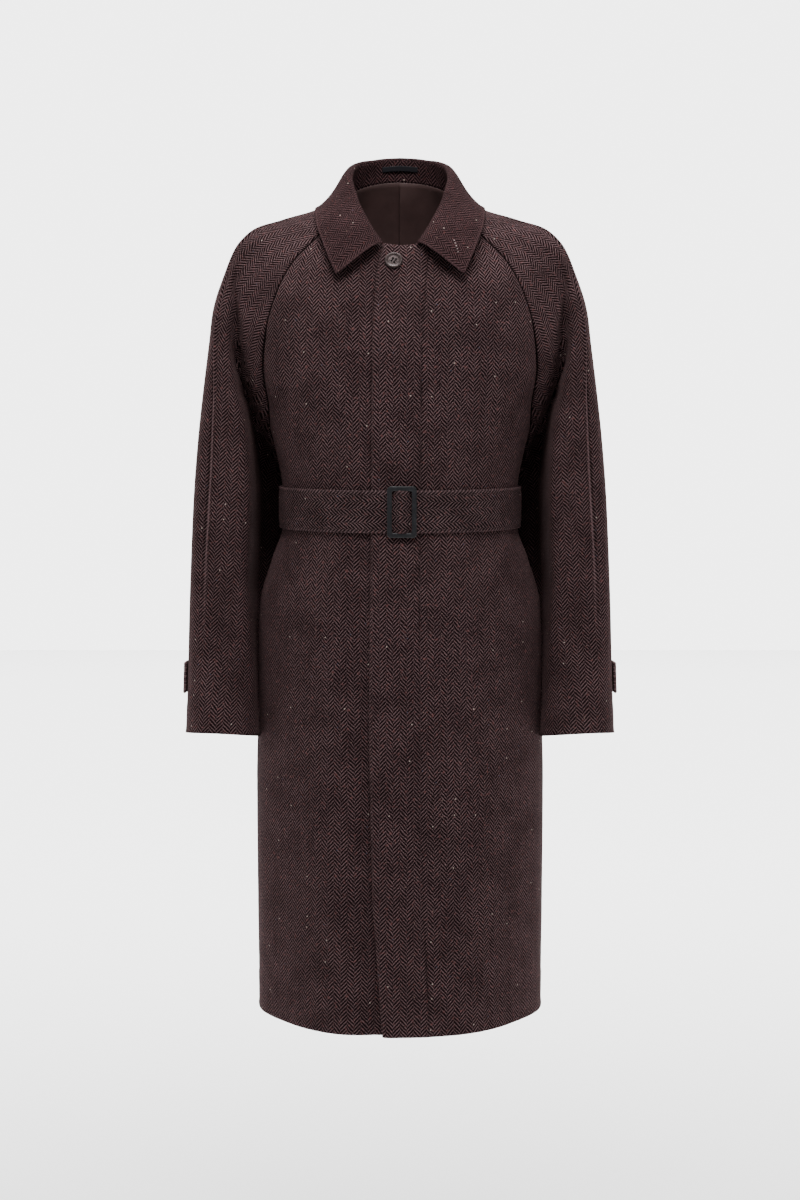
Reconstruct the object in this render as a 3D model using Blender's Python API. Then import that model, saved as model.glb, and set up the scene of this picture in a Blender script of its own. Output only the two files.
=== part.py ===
"""A knee-length topcoat with raglan sleeves and a belt, hollow, filled out as it is when worn.

Metres, +Z up. The front faces -Y and the wearer's left is +X. The origin lies midway between the two
shoulders at the foot of the neck, where the wearer carries the coat. Every cut piece is a wall between
two grids of points, one for each face of the cloth.
"""

import math
from collections import namedtuple

import bmesh
import bpy
import numpy as np

# Cloth and seams
CLOTH = 0.0022
LINING_CLOTH = 0.0012
COLLAR_CLOTH = 0.0026
BELT_CLOTH = 0.0036
TAB_CLOTH = 0.0030
SEAM_GAP = 0.0003
LAP_GAP = 0.0010
STAND_GAP = 0.0008

# Front closing: the left front laps over, the right front runs on beneath it
UNDERLAP = 0.036
LAP_BLEND = 0.034
LapRow = namedtuple("LapRow", "z edge_x")
LAP = [
    LapRow(-1.050, -0.0220),
    LapRow(-0.960, -0.0285),
    LapRow(-0.870, -0.0345),
    LapRow(-0.640, -0.0385),
    LapRow(-0.400, -0.0365),
    LapRow(-0.200, -0.0345),
    LapRow(-0.090, -0.0285),
    LapRow(-0.056, -0.0208),
]

# Body below the arms: height, half width at the side seam, depth of the centre front and centre back
BodyRow = namedtuple("BodyRow", "z side_x front_y back_y")
BODY = [
    BodyRow(-1.050, 0.1875, -0.180, 0.170),
    BodyRow(-0.900, 0.1890, -0.176, 0.166),
    BodyRow(-0.750, 0.1895, -0.171, 0.163),
    BodyRow(-0.650, 0.1870, -0.165, 0.160),
    BodyRow(-0.560, 0.1860, -0.156, 0.152),
    BodyRow(-0.517, 0.1840, -0.150, 0.147),
    BodyRow(-0.455, 0.1670, -0.137, 0.132),
    BodyRow(-0.4165, 0.1545, -0.127, 0.121),
    BodyRow(-0.3645, 0.1545, -0.127, 0.121),
    BodyRow(-0.324, 0.1610, -0.131, 0.128),
    BodyRow(-0.2877, 0.1697, -0.134, 0.134),
]
SIDE_Y = 0.005
HEM_Z = BODY[0].z
BELT_BOTTOM = -0.4165
BELT_TOP = -0.3645
SKIRT_HEIGHTS = [
    HEM_Z, -0.985, -0.915, -0.845, -0.775, -0.705, -0.640, -0.580, -0.530, -0.485, -0.447,
    BELT_BOTTOM, -0.390, BELT_TOP, -0.324,
]

# Raglan seams from the neck (0) to the underarm (1). The last columns are the centre point of the same row
# of the body panel and how far that row turns between the centre and the seam.
SeamRow = namedtuple("SeamRow", "along x y z centre_y centre_z turn")
FRONT_RAGLAN = [
    SeamRow(0.00, 0.0800, -0.030, -0.0120, -0.078, -0.056, 52),
    SeamRow(0.12, 0.1047, -0.045, -0.0410, -0.091, -0.077, 58),
    SeamRow(0.28, 0.1373, -0.062, -0.0760, -0.106, -0.107, 64),
    SeamRow(0.41, 0.1580, -0.070, -0.1155, -0.117, -0.138, 69),
    SeamRow(0.55, 0.1706, -0.065, -0.1580, -0.126, -0.174, 75),
    SeamRow(0.71, 0.1756, -0.050, -0.2110, -0.132, -0.216, 81),
    SeamRow(0.90, 0.1695, -0.020, -0.2640, -0.134, -0.264, 87),
    SeamRow(1.00, 0.1697, 0.005, -0.2877, -0.134, -0.2877, 90),
]
BACK_RAGLAN = [
    SeamRow(0.00, 0.0660, 0.070, 0.0220, 0.098, 0.038, 55),
    SeamRow(0.12, 0.0880, 0.086, -0.0150, 0.114, 0.000, 58),
    SeamRow(0.28, 0.1220, 0.097, -0.0680, 0.128, -0.050, 62),
    SeamRow(0.41, 0.1460, 0.096, -0.1080, 0.135, -0.096, 68),
    SeamRow(0.55, 0.1640, 0.087, -0.1540, 0.138, -0.150, 74),
    SeamRow(0.71, 0.1740, 0.067, -0.2080, 0.138, -0.206, 80),
    SeamRow(0.90, 0.1700, 0.030, -0.2630, 0.136, -0.262, 87),
    SeamRow(1.00, 0.1697, 0.005, -0.2877, 0.134, -0.2877, 90),
]

# Sleeve sections from the neck (0) past the underarm (1) to the cuff (2): the outermost point, how far the
# section runs straight on from it and from its inner end, to the front and to the back, and where the
# overarm seam lies on the front half of the section
SleeveRow = namedtuple("SleeveRow", "along x y z front_out front_in back_out back_in seam")
SLEEVE = [
    SleeveRow(0.00, 0.0800, 0.0100, 0.0060, 0.014, 0.012, 0.020, 0.018, 0.03),
    SleeveRow(0.12, 0.1130, 0.0085, -0.0047, 0.022, 0.020, 0.030, 0.026, 0.03),
    SleeveRow(0.28, 0.1530, 0.0068, -0.0175, 0.036, 0.030, 0.042, 0.036, 0.04),
    SleeveRow(0.41, 0.1850, 0.0045, -0.0290, 0.048, 0.038, 0.054, 0.044, 0.08),
    SleeveRow(0.55, 0.2095, 0.0015, -0.0490, 0.060, 0.042, 0.068, 0.052, 0.14),
    SleeveRow(0.71, 0.2275, -0.0035, -0.0890, 0.078, 0.030, 0.086, 0.040, 0.19),
    SleeveRow(0.90, 0.2425, -0.0090, -0.1380, 0.094, 0.028, 0.102, 0.044, 0.22),
    SleeveRow(1.00, 0.2470, -0.0110, -0.1750, 0.098, 0.034, 0.106, 0.058, 0.24),
    SleeveRow(1.12, 0.2550, -0.0135, -0.2370, 0.100, 0.046, 0.108, 0.066, 0.27),
    SleeveRow(1.25, 0.2625, -0.0160, -0.3040, 0.098, 0.054, 0.108, 0.088, 0.29),
    SleeveRow(1.40, 0.2685, -0.0190, -0.3810, 0.096, 0.060, 0.106, 0.088, 0.30),
    SleeveRow(1.55, 0.2720, -0.0230, -0.4580, 0.092, 0.066, 0.102, 0.086, 0.30),
    SleeveRow(1.70, 0.2745, -0.0290, -0.5350, 0.086, 0.072, 0.098, 0.082, 0.30),
    SleeveRow(1.85, 0.2758, -0.0390, -0.6120, 0.082, 0.078, 0.090, 0.082, 0.30),
    SleeveRow(2.00, 0.2775, -0.0500, -0.6890, 0.078, 0.080, 0.084, 0.082, 0.30),
]
InnerRow = namedtuple("InnerRow", "along x y z lean")
UNDERARM = [
    InnerRow(1.00, 0.1697, 0.005, -0.2877, 0.35),
    InnerRow(1.12, 0.1600, 0.044, -0.3350, 0.30),
    InnerRow(1.25, 0.1590, 0.062, -0.3880, 0.25),
    InnerRow(1.40, 0.1660, 0.070, -0.4480, 0.20),
    InnerRow(1.55, 0.1820, 0.054, -0.5080, 0.00),
    InnerRow(1.70, 0.1905, 0.020, -0.5680, -0.15),
    InnerRow(1.85, 0.1905, -0.014, -0.6300, -0.15),
    InnerRow(2.00, 0.1878, -0.046, -0.6940, -0.08),
]
CUFF_RISE = 0.009

# The deep fold in front of and behind each arm: where it runs across the section, its half width and depth
FoldRow = namedtuple("FoldRow", "along across half_width depth")
FRONT_FOLD = [
    FoldRow(0.45, 0.48, 0.20, 0.000),
    FoldRow(0.62, 0.48, 0.21, 0.005),
    FoldRow(0.80, 0.52, 0.22, 0.012),
    FoldRow(0.95, 0.58, 0.22, 0.015),
    FoldRow(1.06, 0.64, 0.22, 0.012),
    FoldRow(1.20, 0.70, 0.22, 0.006),
    FoldRow(1.40, 0.76, 0.22, 0.000),
]
BACK_FOLD = [
    FoldRow(0.45, 0.52, 0.18, 0.000),
    FoldRow(0.80, 0.56, 0.18, 0.012),
    FoldRow(0.98, 0.62, 0.18, 0.014),
    FoldRow(1.15, 0.68, 0.18, 0.006),
    FoldRow(1.40, 0.74, 0.18, 0.000),
]

# Collar: the line where it rolls over and the outer edge of the leaf, from the front end (0) to centre back (1)
CollarRow = namedtuple("CollarRow", "around roll_x roll_y roll_z edge_x edge_y edge_z")
COLLAR = [
    CollarRow(0.00, 0.0235, -0.0805, -0.0515, 0.0800, -0.1070, -0.0920),
    CollarRow(0.17, 0.0425, -0.0570, -0.0210, 0.0945, -0.0810, -0.0580),
    CollarRow(0.36, 0.0573, -0.0200, 0.0120, 0.1070, -0.0420, -0.0215),
    CollarRow(0.55, 0.0620, 0.0200, 0.0400, 0.1100, 0.0100, 0.0030),
    CollarRow(0.70, 0.0575, 0.0550, 0.0570, 0.0960, 0.0640, 0.0120),
    CollarRow(0.84, 0.0400, 0.0860, 0.0692, 0.0640, 0.1060, 0.0140),
    CollarRow(0.92, 0.0205, 0.0985, 0.0704, 0.0330, 0.1190, 0.0125),
    CollarRow(1.00, 0.0000, 0.1020, 0.0705, 0.0000, 0.1225, 0.0120),
]
ROLL_RADIUS = 0.0040

# Buckle, a flat frame with a hidden bar behind the belt
BUCKLE_Z = -0.3905
BUCKLE_X = 0.0023
BUCKLE_WIDTH = 0.0370
BUCKLE_HEIGHT = 0.0648
BUCKLE_RAIL = 0.0060
BUCKLE_DEPTH = 0.0036
BUCKLE_CORNER = 0.0050
BUCKLE_EDGE = 0.0008
BAR_WIDTH = 0.0036
BAR_DEPTH = 0.0020
BELT_RISE = 0.0053

# Buttons
BUTTON_X = -0.0080
BUTTON_Z = -0.0770
BUTTON_WIDTH = 0.0230
BUTTON_DEPTH = 0.0036

# Cuff tabs, sewn into the underarm seam and carried round the back of the sleeve
TAB_LOW = 1.898
TAB_HIGH = 1.812
TAB_END = 0.45
TAB_LIFT = 0.0014

# Lining and hanger loop inside the neck
LINING_GAP = 0.0008
LINING_LAP = 0.012
LOOP_HALF = 0.0235
LOOP_LOW = 0.50
LOOP_HIGH = 0.72
LOOP_CLOTH = 0.0012

# How finely each piece is divided
FRONT_COLUMNS = 12
BACK_COLUMNS = 21
RAGLAN_ROWS = 10
TUBE_ROWS = 11
SLEEVE_FRONT_COLUMNS = 13
SLEEVE_BACK_COLUMNS = 12
COLLAR_COLUMNS = 33


def smooth(rows, along, name, at):
    """A column's values at places along another, on a curve through the rows with no bumps of its own."""
    x = np.array([getattr(row, along) for row in rows], float)
    y = np.array([getattr(row, name) for row in rows], float)
    steps = np.diff(x)
    slopes = np.diff(y) / steps
    same_way = slopes[:-1] * slopes[1:] > 0
    total = np.where(same_way, slopes[:-1] + slopes[1:], 1.0)
    bends = np.where(same_way, 2 * slopes[:-1] * slopes[1:] / total, 0.0)
    tangents = np.concatenate([slopes[:1], bends, slopes[-1:]])
    at = np.clip(np.asarray(at, float), x[0], x[-1])
    i = np.clip(np.searchsorted(x, at, side="right") - 1, 0, len(steps) - 1)
    t = (at - x[i]) / steps[i]
    rise = y[i] + t * t * (3 - 2 * t) * (y[i + 1] - y[i])
    return rise + steps[i] * (t * (1 - t) ** 2 * tangents[i] - t * t * (1 - t) * tangents[i + 1])


def points(rows, along, names, at):
    return np.stack([smooth(rows, along, name, at) for name in names], axis=-1)


def ease(value):
    value = np.clip(value, 0.0, 1.0)
    return value * value * (3 - 2 * value)


def unit(vectors):
    return vectors / np.linalg.norm(vectors, axis=-1, keepdims=True)


def mirrored(grid):
    """The same grid on the wearer's other side, with its columns in the opposite order."""
    return (grid * np.array([-1.0, 1.0, 1.0]))[:, ::-1]


def normals(grid):
    """Directions away from the face of a grid whose columns run to the right and whose rows run up."""
    return unit(np.cross(np.gradient(grid, axis=1), np.gradient(grid, axis=0)))


def drawn_in(grid, left=0.0, right=0.0):
    """The grid with its first and last columns moved inwards along the rows, which leaves the gap at a seam."""
    grid = grid.copy()
    grid[:, 0] += left * unit(grid[:, 1] - grid[:, 0])
    grid[:, -1] += right * unit(grid[:, -2] - grid[:, -1])
    return grid


def body_rows(front):
    """Centre points, seam points and turns of the rows of a body panel, from the hem up to the neck."""
    z = np.array(SKIRT_HEIGHTS)
    side = np.stack([smooth(BODY, "z", "side_x", z), np.full_like(z, SIDE_Y), z], axis=-1)
    depth = smooth(BODY, "z", "front_y" if front else "back_y", z)
    centre = np.stack([np.zeros_like(z), depth, z], axis=-1)
    seam = FRONT_RAGLAN if front else BACK_RAGLAN
    along = np.linspace(1.0, 0.0, RAGLAN_ROWS)
    seam_end = points(seam, "along", ("x", "y", "z"), along)
    seam_centre = points(seam, "along", ("centre_y", "centre_z"), along)
    seam_centre = np.insert(seam_centre, 0, 0.0, axis=1)
    turn = np.concatenate([np.full_like(z, 90.0), smooth(seam, "along", "turn", along)])
    return np.concatenate([centre, seam_centre]), np.concatenate([side, seam_end]), np.radians(turn)


def body_grid(front, across):
    """Points of a body panel on the wearer's left, at parts of the way from its centre line to its seam."""
    centre, seam, turn = (part[:, None] for part in body_rows(front))
    angle = across * turn
    x = seam[..., 0] * np.sin(angle) / np.sin(turn)
    y = centre[..., 1] + (seam[..., 1] - centre[..., 1]) * (1 - np.cos(angle)) / (1 - np.cos(turn))
    z = centre[..., 2] + (seam[..., 2] - centre[..., 2]) * across ** 2
    return np.stack([x, y, z], axis=-1)


def edge_across(front_edge_x):
    """The part of the way across each front row, counted from the centre line, where x has a given value."""
    centre, seam, turn = body_rows(True)
    x = smooth(LAP, "z", "edge_x", centre[:, 2]) if front_edge_x is None else front_edge_x
    return np.arcsin(x * np.sin(turn) / seam[:, 0]) / turn


def front_left():
    first = edge_across(None)[:, None]
    return body_grid(True, first + (1 - first) * np.linspace(0, 1, FRONT_COLUMNS))


def front_right():
    """Made on the wearer's left and mirrored. It sinks beneath the other front before it reaches the lap."""
    first = edge_across(-UNDERLAP)[:, None]
    grid = body_grid(True, first + (1 - first) * np.linspace(0, 1, FRONT_COLUMNS))
    lap_edge = -smooth(LAP, "z", "edge_x", body_rows(True)[0][:, 2])[:, None]
    sunk = ease((lap_edge + LAP_BLEND - grid[..., 0]) / (LAP_BLEND - 0.004))
    return mirrored(grid - normals(grid) * (sunk * (CLOTH + LAP_GAP))[..., None])


def back():
    half = body_grid(False, np.linspace(1, 0, BACK_COLUMNS // 2 + 1)[None, :])
    other = mirrored(half)
    return np.concatenate([half, other[:, 1:]], axis=1)


def bezier(start, first, second, end, t):
    t = t[..., None]
    return (1 - t) ** 3 * start + 3 * t * (1 - t) ** 2 * first + 3 * t * t * (1 - t) * second + t ** 3 * end


def sleeve_ends(along, front):
    """The inner end of each sleeve section, on its raglan or underarm seam, and the direction there."""
    seam = FRONT_RAGLAN if front else BACK_RAGLAN
    way = -1.0 if front else 1.0
    on_seam = np.minimum(along, 1.0)
    end = np.where(
        (along <= 1.0)[:, None],
        points(seam, "along", ("x", "y", "z"), on_seam),
        points(UNDERARM, "along", ("x", "y", "z"), np.maximum(along, 1.0)),
    )
    turn = np.radians(smooth(seam, "along", "turn", on_seam))
    reach = np.abs(end[:, 1] - smooth(seam, "along", "centre_y", on_seam))
    run_on = np.stack([
        end[:, 0] * turn * np.cos(turn) / np.sin(turn),
        -way * reach * turn * np.sin(turn) / (1 - np.cos(turn)),
        2 * (end[:, 2] - smooth(seam, "along", "centre_z", on_seam)),
    ], axis=-1)
    level = np.array([1.0, way * 0.1, 0.15])
    lean = smooth(UNDERARM, "along", "lean", np.maximum(along, 1.0))
    round_arm = np.stack([lean, np.full_like(lean, way), np.zeros_like(lean)], axis=-1)
    to_level = ease((along - 0.40) / 0.30)[:, None]
    to_arm = ease((along - 0.80) / 0.32)[:, None]
    beside = (1 - to_level) * unit(run_on) + to_level * unit(level)
    return end, unit((1 - to_arm) * unit(beside) + to_arm * unit(round_arm))


def sleeve_half(along, across, front):
    """Points on one half of the sleeve, from its outermost line (0) to its inner seam (1), at each section."""
    outer = points(SLEEVE, "along", ("x", "y", "z"), along)
    end, direction = sleeve_ends(along, front)
    side = "front" if front else "back"
    way = np.array([0.0, -1.0 if front else 1.0, 0.0])
    out_handle = smooth(SLEEVE, "along", side + "_out", along)[:, None]
    in_handle = smooth(SLEEVE, "along", side + "_in", along)[:, None]
    first = (outer + way * out_handle)[:, None]
    second = (end + direction * in_handle)[:, None]
    grid = bezier(outer[:, None], first, second, end[:, None], across)
    if front:
        grid[..., 2] += CUFF_RISE * (ease((along - 1.7) / 0.3)[:, None] * np.sin(math.pi * across))
    return grid


def pressed(along, across, folds):
    """Depths of a fold: a trough that runs down the sleeve, deepest beside the underarm."""
    centre = smooth(folds, "along", "across", along)[:, None]
    width = smooth(folds, "along", "half_width", along)[:, None]
    depth = smooth(folds, "along", "depth", along)[:, None]
    press = depth * np.exp(-((across - centre) / width) ** 2)
    return press[..., None]


def sleeve(front_columns, back_columns, along):
    """The left sleeve's front half and back half, split at the overarm seam, each with its inner face."""
    seam = smooth(SLEEVE, "along", "seam", along)[:, None]
    front_across = 1 - (1 - seam) * np.linspace(0, 1, front_columns)
    over_across = seam * np.linspace(1, 0, 4)
    back_across = np.tile(np.linspace(0, 1, back_columns - 3), (len(along), 1))
    front = sleeve_half(along, front_across, True)
    over = sleeve_half(along, over_across, True)
    behind = sleeve_half(along, back_across, False)
    whole = np.concatenate([front, over[:, 1:], behind[:, 1:]], axis=1)
    press = np.concatenate([
        pressed(along, front_across, FRONT_FOLD),
        pressed(along, over_across, FRONT_FOLD)[:, 1:],
        pressed(along, back_across, BACK_FOLD)[:, 1:],
    ], axis=1)
    edge = np.minimum(np.arange(whole.shape[1]), np.arange(whole.shape[1])[::-1])
    press = press * ease(edge / 2.5)[None, :, None]
    whole = whole - normals(whole) * press
    away = normals(whole)
    tube = (along > 0.999)[:, None]
    shared = unit(away[:, 0] + away[:, -1])
    away[:, 0] = np.where(tube, shared, away[:, 0])
    away[:, -1] = np.where(tube, shared, away[:, -1])
    cut = front_columns
    return (whole[:, :cut], away[:, :cut]), (whole[:, cut - 1:], away[:, cut - 1:])


def material(name, colour, roughness, metallic=0.0):
    made = bpy.data.materials.new(name)
    made.use_nodes = True
    shader = made.node_tree.nodes["Principled BSDF"]
    shader.inputs["Base Color"].default_value = (*colour, 1.0)
    shader.inputs["Roughness"].default_value = roughness
    shader.inputs["Metallic"].default_value = metallic
    made.diffuse_color = (*colour, 1.0)
    return made


def solid(name, vertices, faces, cloth):
    mesh = bpy.data.meshes.new(name)
    mesh.from_pydata([tuple(v) for v in vertices], [], faces)
    shape = bmesh.new()
    shape.from_mesh(mesh)
    bmesh.ops.recalc_face_normals(shape, faces=shape.faces)
    for face in shape.faces:
        face.smooth = True
    shape.to_mesh(mesh)
    shape.free()
    mesh.materials.append(cloth)
    piece = bpy.data.objects.new(name, mesh)
    bpy.context.scene.collection.objects.link(piece)
    return piece


def wall(name, outer, inner, cloth, turned_over=False):
    """A closed wall between two grids of one size. If turned over, its triangles are split the other way."""
    rows, columns = outer.shape[:2]
    size = rows * columns
    number = np.arange(size).reshape(rows, columns)
    faces = []
    for r in range(rows - 1):
        for c in range(columns - 1):
            a, b = int(number[r, c]), int(number[r, c + 1])
            d, e = int(number[r + 1, c + 1]), int(number[r + 1, c])
            pair = [(a, b, e), (b, d, e)] if turned_over else [(a, b, d), (a, d, e)]
            faces += pair
            faces += [(size + i, size + j, size + k) for k, j, i in pair]
    border = list(number[0, :]) + list(number[1:, -1]) + list(number[-1, -2::-1]) + list(number[-2:0:-1, 0])
    for here, after in zip(border, border[1:] + border[:1]):
        low, high = int(min(here, after)), int(max(here, after))
        faces += [(low, high, size + high), (low, size + high, size + low)]
    return solid(name, np.concatenate([outer.reshape(-1, 3), inner.reshape(-1, 3)]), faces, cloth)


def turned(name, profile, centre, axis_x, axis_y, axis_out, steps, cloth):
    """A round piece: a profile of radius and height pairs, from the middle of one face to the other, spun."""
    vertices = []
    faces = []
    rings = []
    for radius, height in profile:
        if radius == 0:
            rings.append([len(vertices)] * steps)
            vertices.append(centre + axis_out * height)
            continue
        rings.append(list(range(len(vertices), len(vertices) + steps)))
        for i in range(steps):
            turn = 2 * math.pi * i / steps
            rim = math.cos(turn) * axis_x + math.sin(turn) * axis_y
            vertices.append(centre + radius * rim + axis_out * height)
    for low, high in zip(rings, rings[1:]):
        for i in range(steps):
            j = (i + 1) % steps
            corners = [low[i], low[j], high[j], high[i]]
            face = [v for n, v in enumerate(corners) if v not in corners[:n]]
            faces.append(face)
    return solid(name, vertices, faces, cloth)


def button_profile(width, depth):
    half = width / 2
    return [
        (0.0, 0.0), (half * 0.80, 0.0), (half, depth * 0.45), (half * 0.96, depth * 0.85),
        (half * 0.84, depth), (half * 0.70, depth * 0.72), (half * 0.55, depth * 0.60), (0.0, depth * 0.55),
    ]


def collar_guides(around):
    """Roll line, leaf edge and level outward direction round half of the collar, on the wearer's left."""
    roll = points(COLLAR, "around", ("roll_x", "roll_y", "roll_z"), around)
    edge = points(COLLAR, "around", ("edge_x", "edge_y", "edge_z"), around)
    level = np.gradient(roll, axis=0)
    level[:, 2] = 0.0
    outward = unit(np.stack([level[:, 1], -level[:, 0], np.zeros(len(around))], axis=-1))
    outward[around >= 1.0] = (0.0, 1.0, 0.0)
    return roll, edge, outward


def collar_leaf(around):
    """The half leaf, from its seam inside the roll, over the roll and down to its edge."""
    roll, edge, outward = collar_guides(around)
    up = np.array([0.0, 0.0, 1.0])
    middle = roll - up * ROLL_RADIUS
    columns = []
    for turn in np.radians([0, 30, 60]):
        columns.append(middle + ROLL_RADIUS * (up * math.sin(turn) - outward * math.cos(turn)))
    length = np.linalg.norm(edge - roll, axis=-1, keepdims=True)
    t = np.linspace(0, 1, 8) ** 1.15
    first = roll + outward * length * 0.12
    second = edge + (roll - edge) * 0.40 - outward * 0.003
    fall = bezier(roll[None], first[None], second[None], edge[None], np.repeat(t[:, None], len(around), axis=1))
    return np.stack(columns + list(fall), axis=0)


def both_halves(half):
    """Joins a half grid, whose columns run from the front end to centre back, to its mirror image."""
    return np.concatenate([half, mirrored(half)[:, 1:]], axis=1)


def neck_edge(left_grid, left_front, left_back, back_grid):
    """The neck seam of the wearer's left side, from centre front round to centre back, on the inner faces."""
    half = back_grid.shape[1] // 2
    return np.concatenate([left_grid[-1], left_front[-1, 1:], left_back[-1, 1:], back_grid[-1, 1:half + 1]])


def along_line(line, share):
    """Points on a broken line at shares of its length."""
    length = np.concatenate([[0.0], np.cumsum(np.linalg.norm(np.diff(line, axis=0), axis=-1))])
    return np.stack([np.interp(share, length / length[-1], line[:, i]) for i in range(3)], axis=-1)


def at_x(line, values, x):
    """Values held at the points of each row of a front panel, read off at given x between them."""
    made = np.empty((line.shape[0], len(x), values.shape[-1]))
    for r in range(line.shape[0]):
        for i in range(values.shape[-1]):
            made[r, :, i] = np.interp(x, line[r, :, 0], values[r, :, i])
    return made


def between_rows(grid, along, wanted):
    """Rows of a sleeve grid at given places along it, on the straight pieces between its own rows."""
    made = np.empty((len(wanted),) + grid.shape[1:])
    for c in range(grid.shape[1]):
        for i in range(3):
            made[:, c, i] = np.interp(wanted, along[::-1], grid[::-1, c, i])
    return made


def buckle_outline(width, height, corner, steps):
    outline = []
    for quarter, (sx, sz) in enumerate(((1, 1), (-1, 1), (-1, -1), (1, -1))):
        for i in range(steps + 1):
            turn = math.pi / 2 * (quarter + i / steps)
            x = sx * (width / 2 - corner) + corner * math.cos(turn)
            z = sz * (height / 2 - corner) + corner * math.sin(turn)
            outline.append((x, z))
    return outline


def buckle(face, bar_front, finish):
    """The frame, a rectangle with soft corners, joined to the upright bar that the belt passes over."""
    outer = np.array(buckle_outline(BUCKLE_WIDTH, BUCKLE_HEIGHT, BUCKLE_CORNER, 5))
    inside = (BUCKLE_WIDTH - 2 * BUCKLE_RAIL, BUCKLE_HEIGHT - 2 * BUCKLE_RAIL, 0.0020)
    inner = np.array(buckle_outline(*inside, 5))
    front = face - BUCKLE_DEPTH
    soft = BUCKLE_EDGE / BUCKLE_RAIL
    profile = [
        (0, face), (0, front + BUCKLE_EDGE), (soft, front),
        (1 - soft, front), (1, front + BUCKLE_EDGE), (1, face),
    ]
    count = len(outer)
    vertices = []
    for share, depth in profile:
        for x, z in outer + (inner - outer) * share:
            vertices.append((BUCKLE_X + x, depth, BUCKLE_Z + z))
    faces = []
    for ring in range(len(profile)):
        other = (ring + 1) % len(profile)
        for i in range(count):
            j = (i + 1) % count
            faces.append((ring * count + i, ring * count + j, other * count + j, other * count + i))
    frame = solid("buckle", vertices, faces, finish)
    reach = BUCKLE_HEIGHT / 2 - BUCKLE_RAIL * 0.4
    corners = []
    for y in (bar_front, bar_front + BAR_DEPTH):
        for x, z in ((-1, -1), (1, -1), (1, 1), (-1, 1)):
            corners.append((BUCKLE_X + x * BAR_WIDTH / 2, y, BUCKLE_Z + z * reach))
    sides = [(0, 1, 2, 3), (4, 5, 6, 7), (0, 1, 5, 4), (1, 2, 6, 5), (2, 3, 7, 6), (3, 0, 4, 7)]
    bar = solid("buckle_bar", corners, sides, finish)
    bar.hide_render = True
    bar.display_type = "WIRE"
    join = frame.modifiers.new("bar", "BOOLEAN")
    join.operation = "UNION"
    join.solver = "EXACT"
    join.object = bar


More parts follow.
